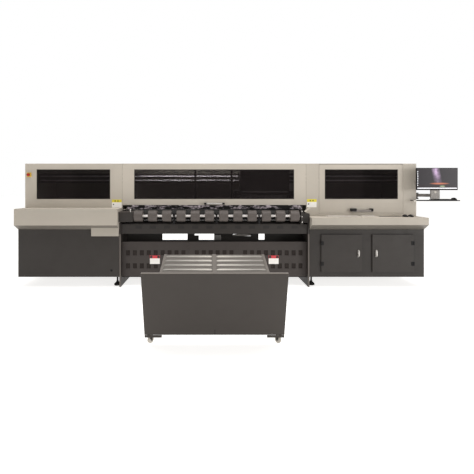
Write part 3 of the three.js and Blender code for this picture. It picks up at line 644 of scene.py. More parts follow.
def beam_and_legs():
    low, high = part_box("front_beam")
    first, pitch = -1.368, 0.1921
    # Darker patches on the beam's face at the rollers' pitch: painted reflections of the rollers.
    slots_and_reflections = []
    for i in range(12):
        x = first + i * pitch
        slots_and_reflections.append(((x - 0.042, low.y - 1 * MM, low.z + 0.070),
                      (x + 0.042, low.y + 1 * MM, low.z + 0.112)))
    boxes("beam_roller_reflections", slots_and_reflections, extra["painted_roller_reflection"], "machine", "frame_paint", 0.4 * MM)
    frame_low, frame_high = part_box("base_frame")
    # Lighter strips down the legs' front edges: a painted highlight where light falls on the edges.
    strips = []
    for left, right in ((frame_low.x, frame_low.x + 20 * MM), (frame_high.x - 20 * MM, frame_high.x)):
        strips.append(((left, frame_low.y - 2 * MM, frame_low.z), (right, frame_low.y, low.z)))
    boxes("leg_edge_highlights", strips, extra["leg_edge"], "machine", "frame_paint", 0.8 * MM)
    vent_low, vent_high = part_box("vent_panel_left")[0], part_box("vent_panel_right")[1]
    boxes("vent_filter_mat", [((vent_low.x + 10 * MM, vent_high.y + 4 * MM, vent_low.z + 10 * MM),
                               (vent_high.x - 10 * MM, vent_high.y + 16 * MM, vent_high.z - 10 * MM))],
          extra["filter_mat"], "machine", "black_plastic", 2 * MM)
    web_face = 0.700
    boxes("web_bracket", [((-0.335, web_face - 22 * MM, 0.592), (-0.243, web_face - 1 * MM, 0.668))],
          finishes["aluminium"], "machine", "aluminium", 3 * MM)
    bm = bmesh.new()
    add_tube(bm, [(-0.16, 0.755, 0.600), (-0.10, 0.752, 0.644), (0.0, 0.750, 0.658), (0.10, 0.750, 0.662),
                  (0.20, 0.752, 0.668), (0.28, 0.756, 0.690)], 17 * MM, 20)
    add_piece("air_hose", bm, extra["hose_grey"], "machine", "wheel_plastic")


# ------------------------------------------------------------------ delivery rollers
def rollers():
    """Twelve ground rubber tyres with steel hubs, in threes on four shafts."""
    sets = [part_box(f"roller_set_{i + 1}") for i in range(4)]
    axis_y = (sets[0][0].y + sets[0][1].y) / 2
    axis_z = (sets[0][0].z + sets[0][1].z) / 2
    radius = (sets[0][1].z - sets[0][0].z) / 2
    half = 60.5 * MM
    pitch = (sets[1][0].x - sets[0][0].x) / 3
    for index in range(12):
        low, high = sets[index // 3]
        x = (low.x + high.x) / 2 + (index % 3 - 1) * pitch
        centre = (x, axis_y, axis_z)
        tyre = [(30 * MM, -half)]
        for along, down in ((1.0, 6), (0.97, 2.5), (0.92, 0.8), (0.8, 0), (-0.8, 0), (-0.92, 0.8),
                            (-0.97, 2.5), (-1.0, 6)):
            tyre.insert(1, (radius - down * MM, along * half))
        tyre.append((30 * MM, half))
        made = lathes(f"roller_tyre_{index + 1:02d}", [(tyre, "x", centre)], finishes["rubber"],
                      "delivery_rollers", "rubber", 72)
        if index % 3 == 0:
            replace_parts(made, f"roller_set_{index // 3 + 1}")
        rims = []
        for side in (-1, 1):
            disc = [(16 * MM, side * (half - 8 * MM)), (46 * MM, side * (half - 8 * MM)),
                    (46 * MM, side * (half - 1 * MM)),
                    (40 * MM, side * (half + 1 * MM)), (28 * MM, side * (half + 1 * MM)),
                    (26 * MM, side * (half + 3.5 * MM)), (16 * MM, side * (half + 3.5 * MM))]
            rims.append((disc, "x", centre))
        lathes(f"roller_rims_{index + 1:02d}", rims, finishes["steel"], "delivery_rollers", "steel", 72)
    rods = []
    for low, high in sets:
        middle = (low.x + high.x) / 2
        reach = (high.x - low.x) / 2
        bar = [(0, -reach), (14.5 * MM, -reach), (15.5 * MM, -reach + 1 * MM), (15.5 * MM, reach - 1 * MM),
               (14.5 * MM, reach), (0, reach)]
        rods.append((bar, "x", (middle, axis_y, axis_z)))
    lathes("roller_shafts", rods, extra["shaft_steel"], "delivery_rollers", "steel", 40)


def roller_bay_fittings():
    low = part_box("end_box")[0]
    spots = [(0.836, low.y - 0.2 * MM, z) for z in (1.030, 0.958, 0.884)]
    button_heads("end_plate_bolts", spots, "-y", finishes["steel"], "machine", "steel", 9 * MM)
    bm = bmesh.new()
    made = add_box(bm, (-0.045, -0.008, -0.011), (0.045, 0.008, 0.011))
    turn = Matrix.Translation((0.905, low.y - 0.006, 1.052)) @ Matrix.Rotation(math.radians(-38), 4, "Y")
    bmesh.ops.transform(bm, matrix=turn, verts=made)
    add_piece("guide_bracket", bm, finishes["cover_paint"], "machine", "cover_paint", 1.5 * MM)
    low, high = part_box("drive_box")
    boxes("drive_box_lid", [((low.x + 2 * MM, low.y + 2 * MM, high.z),
                             (high.x - 2 * MM, high.y - 2 * MM, high.z + 3 * MM))],
          finishes["vent_paint"], "machine", "vent_paint", 1 * MM)
    stud = [(0, 0), (11 * MM, 0), (11 * MM, 8 * MM), (6 * MM, 8 * MM), (6 * MM, 20 * MM), (9 * MM, 22 * MM),
            (9 * MM, 29 * MM), (5 * MM, 32 * MM), (0, 32 * MM)]
    lathes("sensor_stud", [(stud, "z", (-1.475, low.y + 0.04, high.z + 3 * MM))], finishes["steel"],
           "machine",
           "steel", 28)


def light_curtain(name, body, y, top, bottom, left, right, sway):
    """Overlapping strips of creased dark film that keep stray light in."""
    bm = bmesh.new()
    pitch, wide, thick = 0.060, 0.066, 1.5 * MM
    count = int((right - left) / pitch)
    for i in range(count):
        x = left + (i + 0.5) * pitch
        lean = rng.uniform(-sway, sway)
        shift = (i % 2) * 2 * MM
        rows = 5
        previous = None
        for k in range(rows + 1):
            share = k / rows
            z = top + (bottom - top) * share
            bow = lean * share * share + shift
            twist = rng.uniform(-1, 1) * sway * 0.3 * share
            ring = [bm.verts.new((x - wide / 2, y + bow - twist, z)),
                    bm.verts.new((x + wide / 2, y + bow + twist, z)),
                    bm.verts.new((x + wide / 2, y + bow + twist + thick, z)),
                    bm.verts.new((x - wide / 2, y + bow - twist + thick, z))]
            if previous:
                for j in range(4):
                    bm.faces.new((previous[j], previous[(j + 1) % 4], ring[(j + 1) % 4], ring[j]))
            else:
                bm.faces.new(ring)
            previous = ring
        bm.faces.new(previous)
    add_piece(name, bm, extra["film"], body, "dark_rubber", smooth_angle=60)


def curtains():
    low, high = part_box("transport_belt")
    lid_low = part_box("lid")[0]
    light_curtain("front_light_curtain", "lid", lid_low.y + 0.032, lid_low.z + 4 * MM, 1.046, low.x - 0.14,
                  high.x + 0.08, 0.012)
    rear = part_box("middle_cover")[1].y
    light_curtain("rear_light_curtain", "machine", rear - 0.014, lid_low.z + 4 * MM, 1.040, low.x - 0.16,
                  high.x + 0.08, 0.006)


def belt_and_drums():
    """A closed belt loop and the two drums inside it, with their shafts."""
    low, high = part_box("transport_belt")
    belt_middle = (low.x + high.x) / 2
    axis_z, outer = (low.z + high.z) / 2, (high.z - low.z) / 2
    front, rear = low.y + outer, high.y - outer
    inner = outer - 3 * MM
    steps = 40
    bm = bmesh.new()

    def loop(radius, x):
        points = []
        for centre, start in ((rear, -math.pi / 2), (front, math.pi / 2)):
            for k in range(steps + 1):
                turn = start + math.pi * k / steps
                points.append(bm.verts.new((x, centre + radius * math.cos(turn),
                                            axis_z + radius * math.sin(turn))))
        return points
    rings = [loop(outer, low.x), loop(outer, high.x), loop(inner, high.x), loop(inner, low.x)]
    for one, two in zip(rings, rings[1:] + rings[:1]):
        for k in range(len(one)):
            following = (k + 1) % len(one)
            bm.faces.new((one[k], one[following], two[following], two[k]))
    belt = add_piece("transport_belt_loop", bm, finishes["belt_cloth"], "machine", "belt_cloth")
    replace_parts(belt, "transport_belt")
    for node in ("belt_drive_drum", "belt_idler_drum"):
        low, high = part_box(node)
        middle, radius = (low + high) / 2, (high.z - low.z) / 2 - 0.2 * MM
        drum, reach = 1.131, (high.x - low.x) / 2
        profile = [(0, -reach), (19 * MM, -reach), (20 * MM, -reach + 1 * MM), (20 * MM, -drum),
                   (radius - 3 * MM, -drum),
                   (radius, -drum + 3 * MM), (radius, drum - 3 * MM), (radius - 3 * MM, drum),
                   (20 * MM, drum),
                   (20 * MM, reach - 1 * MM), (19 * MM, reach), (0, reach)]
        centre = (belt_middle, middle.y, middle.z)
        shaft_shift = middle.x - belt_middle
        moved = [(r, h + (shaft_shift if r <= 20 * MM and abs(h) > drum else 0)) for r, h in profile]
        made = lathes(f"{node}_turned", [(moved, "x", centre)], finishes["aluminium"], node, "aluminium", 64)
        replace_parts(made, node)


# ------------------------------------------------------------------ feet, stop button
def feet():
    for node in [n for n in slot_of if n.startswith("foot_")]:
        low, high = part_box(node)
        centre = ((low.x + high.x) / 2, (low.y + high.y) / 2, 0)
        pad = [(0, 0), (38 * MM, 0), (43 * MM, 2 * MM), (46 * MM, 8 * MM), (46 * MM, 18 * MM),
               (42 * MM, 26 * MM),
               (30 * MM, 36 * MM), (24 * MM, 42 * MM), (0, 42 * MM)]
        made = lathes(f"{node}_pad", [(pad, "z", centre)], finishes["dark_rubber"], "machine", "dark_rubber",
                      40)
        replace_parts(made, node)
        stem = [(0, 42 * MM), (12 * MM, 42 * MM), (12 * MM, high.z), (0, high.z)]
        nut = [(0, 46 * MM), (20 * MM, 46 * MM), (20 * MM, 58 * MM), (0, 58 * MM)]
        bm = bmesh.new()
        add_lathe(bm, stem, "z", centre, 24)
        add_lathe(bm, nut, "z", centre, 6)
        add_piece(f"{node}_stem", bm, extra["hinge_black"], "machine", "steel", 0.8 * MM)


def stop_button():
    low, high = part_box("e_stop_button")
    centre = ((low.x + high.x) / 2, high.y, (low.z + high.z) / 2)
    depth, radius = high.y - low.y, (high.x - low.x) / 2
    cap = [(0, -depth), (radius * 0.45, -depth + 0.4 * MM), (radius * 0.82, -depth + 2 * MM),
           (radius * 0.97, -depth + 5 * MM),
           (radius, -depth + 8 * MM), (radius * 0.98, -depth + 11 * MM), (radius * 0.5, -depth + 13 * MM),
           (9 * MM, -depth + 15 * MM), (9 * MM, 0), (0, 0)]
    made = lathes("e_stop_cap", [(cap, "y", centre)], finishes["sign_red"], "e_stop_button", "sign_red", 48)
    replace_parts(made, "e_stop_button")
    plate_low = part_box("e_stop_plate")[0]
    ring = [(10.5 * MM, 0), (17 * MM, 0), (17 * MM, -2 * MM), (15 * MM, -3 * MM), (10.5 * MM, -3 * MM)]
    lathes("e_stop_collar", [(ring, "y", (centre[0], plate_low.y, centre[2]))], finishes["black_plastic"],
           "machine", "black_plastic", 40)


# ------------------------------------------------------------------ operator's place
def keyboard(name, body, low, high, slot, keys):
    """A slab with rows of separate key caps."""
    boxes(f"{name}_case", [(low, (high[0], high[1], low[2] + 9 * MM))], finishes[slot], body, slot, 2 * MM)
    across, deep = high[0] - low[0], high[1] - low[1]
    rows, pitch = 5, 0.019
    count = int((across - 0.012) / pitch)
    caps = []
    for row in range(rows):
        y = low[1] + 0.012 + row * (deep - 0.02) / rows
        for column in range(count):
            x = low[0] + 0.008 + column * pitch
            caps.append(((x, y, low[2] + 8 * MM), (x + 0.016, y + 0.016, low[2] + 14 * MM)))
    boxes(f"{name}_keys", caps, keys, body, slot, 1.2 * MM, segments=1)


def mouse(name, body, centre, slot):
    bm = bmesh.new()
    bmesh.ops.create_uvsphere(bm, u_segments=24, v_segments=16, radius=1.0)
    for v in bm.verts:
        flat = max(v.co.z, -0.1)
        v.co = Vector((v.co.x * 0.030, v.co.y * 0.052, (flat + 0.1) * 0.030))
    bmesh.ops.translate(bm, verts=bm.verts, vec=Vector(centre))
    add_piece(name, bm, finishes[slot], body, slot, smooth_angle=80)


def monitor_place():
    """The screen, the keyboards and mice on the arm's shelf and on the desk."""
    low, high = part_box("monitor")
    face = low.y
    glass_low = Vector((low.x + 7 * MM, face - 0.6 * MM, low.z + 16 * MM))
    glass_high = Vector((high.x - 7 * MM, face + 1 * MM, high.z - 7 * MM))
    boxes("monitor_screen", [(glass_low, glass_high)],
          screen_picture("screen_picture", glass_low, glass_high),
          "monitor", "black_plastic", 0.3 * MM)
    bar = [((glass_low.x + 6 * MM, face - 1.2 * MM, glass_low.z + 5 * MM),
            (glass_high.x - 6 * MM, face - 0.5 * MM, glass_low.z + 15 * MM))]
    icons = [((glass_low.x + 6 * MM, face - 1.2 * MM, z),
              (glass_low.x + 15 * MM, face - 0.5 * MM, z + 11 * MM))
             for z in [glass_low.z + 0.042 + 0.0235 * k for k in range(9)]]
    g = Graph("screen_white", Emission_Strength=0.9, Roughness=0.4)
    white = g.mix(g.noise(60, 2), srgb(225, 225, 232), srgb(250, 250, 252))
    g.feed(g.shader.inputs["Emission Color"], white)
    boxes("monitor_desktop_marks", bar + icons, g.finish(srgb(200, 200, 205)), "monitor", "black_plastic")
    arm_low, arm_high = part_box("monitor_arm")
    badge = [(0, 0), (17 * MM, 0), (17 * MM, -2 * MM), (14 * MM, -3.5 * MM), (0, -3.5 * MM)]
    lathes("stand_badge", [(badge, "y", (arm_high.x - 0.062, 0.440, arm_low.z + 0.110))],
           finishes["wheel_plastic"], "monitor_arm", "wheel_plastic", 40)
    shelf_low, shelf_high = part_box("keyboard_shelf")
    top = shelf_high.z
    keyboard("shelf_keyboard", "monitor_arm", (2.655, shelf_low.y + 0.012, top),
             (2.915, shelf_high.y - 0.008, top),
             "black_plastic", finishes["black_plastic"])
    mouse("shelf_mouse", "monitor_arm", (2.950, shelf_low.y + 0.070, top), "black_plastic")
    boxes("shelf_end_cap", [((shelf_low.x - 0.030, shelf_low.y, shelf_low.z - 12 * MM),
                             (shelf_low.x + 0.004, shelf_low.y + 0.030, top))],
          finishes["wheel_plastic"], "monitor_arm", "wheel_plastic", 3 * MM)
    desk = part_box("right_console")[1].z
    keyboard("desk_keyboard", "machine", (1.195, 0.370, desk), (1.640, 0.500, desk), "wheel_plastic",
             extra["pale_keys"])
    keyboard("control_pad", "machine", (1.665, 0.385, desk), (1.885, 0.495, desk), "wheel_plastic",
             extra["pale_keys"])
    boxes("desk_ruler", [((1.905, 0.440, desk), (2.235, 0.470, desk + 4 * MM))], finishes["black_plastic"],
          "machine", "black_plastic", 1 * MM)
    mouse("desk_mouse_left", "machine", (2.262, 0.430, desk), "black_plastic")
    mouse("desk_mouse_right", "machine", (2.340, 0.430, desk), "black_plastic")


# ------------------------------------------------------------------ stacking cart
def cart_space():
    """Turns (x, along the deck, up the panel) into the row frame, about the panel's lower edge."""
    low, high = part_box("cart_panel")
    lean = math.radians(16.8)
    lower_edge = ((low.x + high.x) / 2, -1.400, 0.090)
    return Matrix.Translation(lower_edge) @ Matrix.Rotation(lean, 4, "X")


def leaning_piece(name, bm, material, slot, bevel, **options):
    bmesh.ops.transform(bm, matrix=cart_space(), verts=bm.verts)
    return add_piece(name, bm, material, "cart", slot, bevel, **options)


def add_louvre(bm, centre, length, width, height):
    """A long raised rib with a rounded back and rounded ends."""
    steps_round, steps_long = 10, 24
    rows = []
    for i in range(steps_long + 1):
        u = -1 + 2 * i / steps_long
        fade = math.sqrt(max(0.0, 1 - abs(u) ** 14))
        row = []
        for k in range(steps_round + 1):
            turn = math.pi * k / steps_round
            y = centre[1] - math.cos(turn) * width / 2 * (0.55 + 0.45 * fade)
            z = centre[2] + math.sin(turn) ** 0.8 * height * fade
            row.append(bm.verts.new((centre[0] + u * length / 2, y, z)))
        rows.append(row)
    for one, two in zip(rows, rows[1:]):
        for k in range(steps_round):
            bm.faces.new((one[k], two[k], two[k + 1], one[k + 1]))
        bm.faces.new((one[0], one[-1], two[-1], two[0]))
    bm.faces.new(rows[0])
    bm.faces.new(rows[-1][::-1])


def cart():
    """The ribbed deck behind the leaning panel, its rails, lip, plugs and corner brackets."""
    deck_top, front, deep, half = 0.566, 0.0253, 0.352, 0.455
    sheet = bmesh.new()
    add_box(sheet, (-half, front, deck_top - 3 * MM), (half, front + deep, deck_top))
    for x in (-half, half - 3 * MM):
        add_box(sheet, (x, front, deck_top - 25 * MM), (x + 3 * MM, front + deep, deck_top - 1 * MM))
    made = leaning_piece("cart_deck_sheet", sheet, finishes["deck_steel"], "deck_steel", 0.8 * MM)
    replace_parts(made, "cart_deck")
    ribs = bmesh.new()
    for i in range(4):
        y = front + 0.084 + 0.077 * i
        for x in (-0.226, 0.226):
            add_louvre(ribs, (x, y, deck_top - 0.2 * MM), 0.412, 0.032, 6 * MM)
    leaning_piece("cart_deck_ribs", ribs, extra["rib_steel"], "deck_steel", 0.0, smooth_angle=60)
    rails = bmesh.new()
    add_box(rails, (-17 * MM, front, deck_top), (17 * MM, front + deep, deck_top + 5 * MM))
    for x in (-half, half - 22 * MM):
        add_box(rails, (x, front, deck_top), (x + 22 * MM, front + deep, deck_top + 4 * MM))
    leaning_piece("cart_deck_rails", rails, extra["deck_rail"], "deck_steel", 1.5 * MM)
    lip = bmesh.new()
    add_box(lip, (-0.600, 1 * MM, 0.588), (0.600, 24 * MM, 0.5905))
    leaning_piece("cart_panel_lip", lip, extra["deck_rail"], "deck_steel", 1 * MM)
    dots = bmesh.new()
    for up in (0.014, 0.031, 0.048):
        add_lathe(dots, [(0, 0), (4.5 * MM, 0), (4.5 * MM, -1 * MM), (0, -1.4 * MM)], "y", (0.004, 0, up),
                  20)
    leaning_piece("cart_panel_plugs", dots, finishes["dark_rubber"], "dark_rubber", 0.0)
    low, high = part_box("cart_panel")
    foot_z, hem_z, front_y = 0.068, low.z, cart_space().translation.y - 2 * MM
    brackets = []
    for left, right in ((low.x + 2 * MM, low.x + 0.150), (high.x - 0.150, high.x - 2 * MM)):
        brackets.append(((left, front_y, foot_z), (right, front_y + 3 * MM, hem_z)))
    boxes("cart_corner_brackets", brackets, finishes["panel_paint"], "cart", "panel_paint", 0.6 * MM)


def turned_about(name, profile, centre, heading, slot, body):
    """A wheel part on a level axle that is turned from +X by the heading."""
    bm = bmesh.new()
    add_lathe(bm, profile, "x", (0, 0, 0), 48)
    bmesh.ops.transform(bm, matrix=Matrix.Translation(centre) @ Matrix.Rotation(heading, 4, "Z"),
                        verts=bm.verts)
    return add_piece(name, bm, finishes[slot], body, slot)


def swivel_fork(name, pivot, top, heading):
    """A round plate with two cheeks that narrow to the axle, which trails behind the swivel's axis."""
    bm = bmesh.new()
    under = top - 8 * MM
    add_lathe(bm, [(0, under), (25 * MM, under), (26 * MM, under + 1 * MM), (26 * MM, top), (0, top)], "z",
              (0, 0, 0), 40)
    trail, axle_z = 16 * MM, 32 * MM
    outline = [(-15 * MM, under + 2 * MM), (24 * MM, under + 2 * MM), (trail + 8 * MM, axle_z),
               (trail + 5 * MM, axle_z - 7 * MM),
               (trail - 5 * MM, axle_z - 7 * MM), (trail - 8 * MM, axle_z)]
    for inner in (-19 * MM, 16 * MM):
        near = [bm.verts.new((inner, y, z)) for y, z in outline]
        far = [bm.verts.new((inner + 3 * MM, y, z)) for y, z in outline]
        bm.faces.new(near)
        bm.faces.new(far[::-1])
        for k in range(len(outline)):
            after = (k + 1) % len(outline)
            bm.faces.new((near[k], far[k], far[after], near[after]))
    add_lathe(bm, [(0, -21 * MM), (4 * MM, -21 * MM), (4 * MM, 21 * MM), (0, 21 * MM)], "x",
              (0, trail, axle_z), 20)
    place = Matrix.Translation((pivot.x, pivot.y, 0)) @ Matrix.Rotation(heading, 4, "Z")
    bmesh.ops.transform(bm, matrix=place, verts=bm.verts)
    return add_piece(name + "_body", bm, finishes["frame_paint"], body_of[name], "frame_paint", 0.6 * MM)


def casters():
    """Four wheels, and the forks and races of the two that swivel."""
    for node in [n for n in slot_of if "_wheel_" in n]:
        low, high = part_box(node)
        centre = (low + high) / 2
        radius = (high.z - low.z) / 2
        tread = [(13 * MM, -9 * MM), (radius - 5 * MM, -9 * MM), (radius - 1.2 * MM, -8 * MM),
                 (radius, -5 * MM), (radius, 5 * MM),
                 (radius - 1.2 * MM, 8 * MM), (radius - 5 * MM, 9 * MM), (13 * MM, 9 * MM)]
        heading = joint_heading(node.replace("_wheel_", "_wheel_spin_"))
        made = turned_about(f"{node}_tread", tread, centre, heading, "wheel_plastic", body_of[node])
        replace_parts(made, node)
        hub = [(4.6 * MM, -13 * MM), (8 * MM, -13 * MM), (12 * MM, -9 * MM), (13 * MM, -6 * MM),
               (13 * MM, 6 * MM), (12 * MM, 9 * MM),
               (8 * MM, 13 * MM), (4.6 * MM, 13 * MM)]
        turned_about(f"{node}_hub", hub, centre, heading, "steel", body_of[node])
    for side in ("left", "right"):
        node = f"caster_fork_{side}"
        pivot = joint_place(f"caster_swivel_{side}")
        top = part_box(node)[1].z
        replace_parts(swivel_fork(node, pivot, top, joint_heading(f"front_wheel_spin_{side}")), node)
        race = [(0, 0), (22 * MM, 0), (24 * MM, 2 * MM), (24 * MM, 5 * MM), (20 * MM, 7 * MM), (0, 7 * MM)]
        lathes(f"caster_race_{side}", [(race, "z", (pivot.x, pivot.y, top - 15 * MM))], finishes["steel"],
               body_of[node], "steel", 36)


# ------------------------------------------------------------------ rear, roof and sides
def louvre_bank(name, left, right, bottom, top, y, body, count):
    """Tilted slats in a thin frame over an air outlet in the rear wall."""
    rim = 22 * MM
    bars = [((left - rim, y, top), (right + rim, y + 2 * MM, top + rim)),
            ((left - rim, y, bottom - rim), (right + rim, y + 2 * MM, bottom)),
            ((left - rim, y, bottom), (left, y + 2 * MM, top)),
            ((right, y, bottom), (right + rim, y + 2 * MM, top))]
    boxes(f"{name}_frame", bars, finishes["cabinet_paint"], body, "cabinet_paint", 0.5 * MM)
    bm = bmesh.new()
    pitch = (top - bottom) / count
    for i in range(count):
        z = bottom + (i + 0.5) * pitch
        made = add_box(bm, (left - 4 * MM, -12 * MM, -0.8 * MM), (right + 4 * MM, 12 * MM, 0.8 * MM))
        turn = Matrix.Translation((0, y - 9 * MM, z)) @ Matrix.Rotation(math.radians(-38), 4, "X")
        bmesh.ops.transform(bm, matrix=turn, verts=made)
    add_piece(f"{name}_slats", bm, finishes["cabinet_paint"], body, "cabinet_paint", 0.4 * MM, segments=1)


def service_panel(name, left, right, bottom, top, y, body, slot):
    """A thin screwed-on panel over a dark seam, on a wall that faces the rear at y."""
    outer = y + 1.6 * MM
    boxes(name, [((left, y, bottom), (right, outer, top))], finishes[slot], body, slot, 0.6 * MM)
    seam = 4 * MM
    boxes(f"{name}_seam", [((left - seam, y, bottom - seam), (right + seam, y + 0.5 * MM, top + seam))],
          finishes["dark_rubber"], body, "dark_rubber")
    inset = 14 * MM
    columns = [left + inset, (left + right) / 2, right - inset]
    spots = [(x, outer, z) for x in columns for z in (bottom + inset, top - inset)]
    button_heads(f"{name}_screws", spots, "y", finishes["steel"], body, "steel", 5 * MM)


def rear_side():
    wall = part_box("middle_cover")[1].y
    louvre_bank("left_outlet", -2.750, -1.900, 0.330, 0.650, wall, "machine", 11)
    louvre_bank("right_outlet", 1.500, 2.350, 0.330, 0.650, wall, "machine", 11)
    covers = {"left_cover": 2, "right_cover": 2, "middle_cover": 4}
    for node, count in covers.items():
        low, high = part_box(node)
        margin = 40 * MM
        wide = (high.x - low.x - 2 * margin) / count
        for i in range(count):
            left = low.x + margin + i * wide + 6 * MM
            service_panel(f"{node}_panel_{i + 1}", left, left + wide - 12 * MM, max(low.z, 1.105) + margin,
                          high.z - margin, wall, "machine", "cover_paint")
    inlet = [((-1.800, wall, 0.700), (-1.720, wall + 3 * MM, 0.760))]
    boxes("mains_inlet_plate", inlet, finishes["black_plastic"], "machine", "black_plastic", 1 * MM)
    rim = [(0, 0), (24 * MM, 0), (24 * MM, 4 * MM), (21 * MM, 4 * MM), (20 * MM, 1 * MM), (0, 1 * MM)]
    lathes("mains_inlet_socket", [(rim, "y", (-1.760, wall + 3 * MM, 0.730))], finishes["black_plastic"],
           "machine", "black_plastic", 36)
    pins = [([(0, 0), (3 * MM, 0), (3 * MM, 3 * MM), (0, 3 * MM)], "y",
             (-1.760 + 11 * MM * math.cos(a), wall + 4 * MM, 0.730 + 11 * MM * math.sin(a)))
            for a in [2 * math.pi * k / 5 for k in range(5)]]
    lathes("mains_inlet_pins", pins, finishes["steel"], "machine", "steel", 12)


def ends():
    """Filter fans and screws on the two end walls."""
    for side, node in (("left", "left_cabinet"), ("right", "right_cabinet")):
        low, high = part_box(node)
        wall = low.x if side == "left" else high.x
        out = -1 if side == "left" else 1
        guard = []
        centre_y, centre_z = (low.y + high.y) / 2, 0.52
        for k in range(6):
            radius = 18 * MM + k * 15 * MM
            section = [(radius, 0), (radius + 3 * MM, 0), (radius + 3 * MM, out * 3 * MM),
                       (radius, out * 3 * MM)]
            guard.append((section, "x", (wall + out * 3 * MM, centre_y, centre_z)))
        lathes(f"{side}_fan_guard", guard, finishes["steel"], "machine", "steel", 48)
        plate = [(0, 0), (106 * MM, 0), (108 * MM, out * 1 * MM), (108 * MM, out * 2.5 * MM),
                 (0, out * 2.5 * MM)]
        lathes(f"{side}_fan_filter", [(plate, "x", (wall, centre_y, centre_z))], extra["filter_mat"],
               "machine", "black_plastic", 64)
        spots = [(wall, low.y + 60 * MM + i * 0.214, high.z - 30 * MM) for i in range(6)]
        button_heads(f"{side}_end_screws", spots, "x" if out > 0 else "-x", finishes["steel"], "machine",
                     "steel", 5 * MM)


def roof():
    """Hinge knuckles on the lid, and screws along the roof."""
    lid_axis = joint_place("lid_hinge")
    low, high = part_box("lid")
    knuckles = []
    for i in range(6):
        x = low.x + 0.2 + i * (high.x - low.x - 0.4) / 5
        knuckles.append(([(0, -60 * MM), (4.5 * MM, -60 * MM), (5 * MM, -59 * MM), (5 * MM, 59 * MM),
                          (4.5 * MM, 60 * MM), (0, 60 * MM)], "x", (x, lid_axis.y + 2 * MM, lid_axis.z)))
    lathes("lid_hinge_knuckles", knuckles, finishes["steel"], "machine", "steel", 20)
    top = high.z
    spots = [(x, y, top) for y in (1.20, 1.54) for x in [-2.95 + 0.49 * k for k in range(12)]]
    button_heads("roof_screws", spots, "z", finishes["steel"], "machine", "steel", 5 * MM)


# ------------------------------------------------------------------ what the machine holds inside
def ink_tanks():
    """Six coloured tanks on a tray in the right cabinet, each with a cap and a hose."""
    colours = {"cyan": (20, 130, 190), "magenta": (190, 30, 110), "yellow": (226, 196, 40),
               "black": (28, 27, 28),
               "white": (226, 224, 218), "clear": (188, 196, 196)}
    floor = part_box("right_cabinet")[0].z + 14 * MM
    boxes("ink_tray", [((1.130, 0.470, floor), (2.300, 0.760, floor + 30 * MM))], finishes["aluminium"],
          "machine", "aluminium", 4 * MM)
    for i, (name, colour) in enumerate(colours.items()):
        x = 1.160 + i * 0.190
        bm = bmesh.new()
        add_box(bm, (x, 0.500, floor + 32 * MM), (x + 0.150, 0.730, floor + 0.300))
        fill = printed_block(f"ink_{name}", srgb(*colour))
        add_piece(f"ink_tank_{name}", bm, fill, "machine", "wheel_plastic", 16 * MM, segments=4)
        neck = [(0, 0), (26 * MM, 0), (26 * MM, 8 * MM), (31 * MM, 8 * MM), (31 * MM, 30 * MM),
                (28 * MM, 33 * MM), (0, 33 * MM)]
        lathes(f"ink_cap_{name}", [(neck, "z", (x + 0.075, 0.600, floor + 0.299))],
               finishes["black_plastic"],
               "machine", "black_plastic", 28)
        hose = bmesh.new()
        top = floor + 0.330
        add_tube(hose, [(x + 0.075, 0.600, top), (x + 0.075, 0.600, top + 60 * MM),
                        (x + 0.075, 0.640, top + 0.110),
                        (x + 0.075, 0.740, top + 0.140), (x + 0.075, 0.900, top + 0.142)], 5 * MM, 12)
        add_piece(f"ink_hose_{name}", hose, finishes["black_plastic"], "machine", "black_plastic")


def capping_station():
    """Caps that wait for the print heads in the service place, with a purge tray and a stand."""
    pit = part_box("right_console")[0].z + 0.090
    boxes("purge_tray", [((1.150, 0.640, 0.955), (2.050, 0.910, 0.975)),
                         ((1.150, 0.640, 0.975), (2.050, 0.646, 1.000)),
                         ((1.150, 0.904, 0.975), (2.050, 0.910, 1.000))],
          finishes["steel"], "machine", "steel", 2 * MM)
    cups = []
    for y in (0.700, 0.765, 0.830):
        for i in range(4):
            x = 1.375 + 0.150 * i
            cups.append(((x - 0.058, y - 20 * MM, 0.976), (x + 0.058, y + 20 * MM, 1.004)))
    boxes("capping_cups", cups, finishes["dark_rubber"], "machine", "dark_rubber", 3 * MM)
    posts = [((1.170, 0.650, pit), (1.200, 0.900, 0.955)), ((2.000, 0.650, pit), (2.030, 0.900, 0.955))]
    boxes("capping_stand", posts, finishes["aluminium"], "machine", "aluminium", 2 * MM)


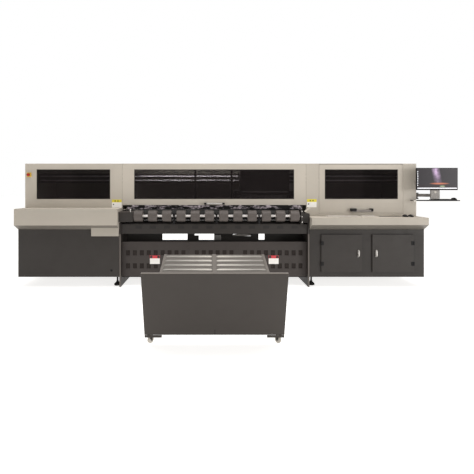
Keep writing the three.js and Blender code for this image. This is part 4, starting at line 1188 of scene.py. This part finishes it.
def blowers():
    """Three side-channel blowers on the tray under the belt, each on a foot."""
    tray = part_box("base_frame")[0].z + 0.127
    for i, x in enumerate((-1.20, -0.34, 0.52)):
        centre = (x, 1.100, tray + 0.165)
        wheel = [(0, -60 * MM), (120 * MM, -60 * MM), (140 * MM, -48 * MM), (140 * MM, 20 * MM),
                 (110 * MM, 42 * MM), (0, 42 * MM)]
        motor = [(0, 42 * MM), (74 * MM, 42 * MM), (76 * MM, 60 * MM), (76 * MM, 190 * MM),
                 (70 * MM, 205 * MM), (0, 205 * MM)]
        lathes(f"blower_{i + 1}", [(wheel, "y", centre), (motor, "y", centre)], finishes["aluminium"],
               "machine",
               "aluminium", 48)
        bm = bmesh.new()
        add_box(bm, (x - 0.11, 1.05, tray), (x + 0.11, 1.26, tray + 22 * MM))
        add_piece(f"blower_foot_{i + 1}", bm, finishes["frame_paint"], "machine", "frame_paint", 3 * MM)


def carriage_details():
    """Slots, trim and clamps of the carriage, and the cooling fins of its lamps."""
    low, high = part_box("carriage")
    front = low.y
    slots_and_reflections = [((low.x + 0.08 + 0.035 * i, front - 1.5 * MM, high.z - 0.10),
              (low.x + 0.095 + 0.035 * i, front, high.z - 0.04))
             for i in range(16)]
    boxes("carriage_slots", slots_and_reflections, finishes["black_plastic"], "carriage", "black_plastic", 0.5 * MM)
    edge = [((low.x + 20 * MM, front - 4 * MM, low.z + 0.040), (high.x - 20 * MM, front, low.z + 0.060))]
    boxes("carriage_trim", edge, finishes["aluminium"], "carriage", "aluminium", 1 * MM)
    blocks = [((x - 52 * MM, high.y - 12 * MM, z - 26 * MM), (x + 52 * MM, high.y - 2 * MM, z + 26 * MM))
              for x in (low.x + 0.12, high.x - 0.12) for z in (low.z + 0.19, low.z + 0.27)]
    boxes("carriage_clamps", blocks, finishes["steel"], "carriage", "steel", 1 * MM)
    for side in ("left", "right"):
        lamp_low, lamp_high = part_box(f"uv_lamp_{side}")
        fins = [((lamp_low.x + 6 * MM, lamp_low.y + 10 * MM + 13 * MM * i, lamp_high.z),
                 (lamp_high.x - 6 * MM, lamp_low.y + 13 * MM + 13 * MM * i,
                  lamp_high.z + 20 * MM)) for i in range(14)]
        boxes(f"uv_lamp_{side}_fins", fins, finishes["aluminium"], "print_heads", "aluminium", 0.5 * MM)


set_stage()
casing()
windows()
grab_handle("lid_handle", finishes["steel"], (1.114, 1.136), (1.112, 1.138), 0.034, 0.034)
grab_handle("access_handle", finishes["silver_plastic"], (1.006, 1.040), (1.018, 1.058), 0.075, 0.034)
labels()
cabinet_fittings()
beam_and_legs()
rollers()
roller_bay_fittings()
curtains()
belt_and_drums()
feet()
stop_button()
monitor_place()
cart()
casters()
rear_side()
ends()
roof()
ink_tanks()
capping_station()
blowers()
carriage_details()
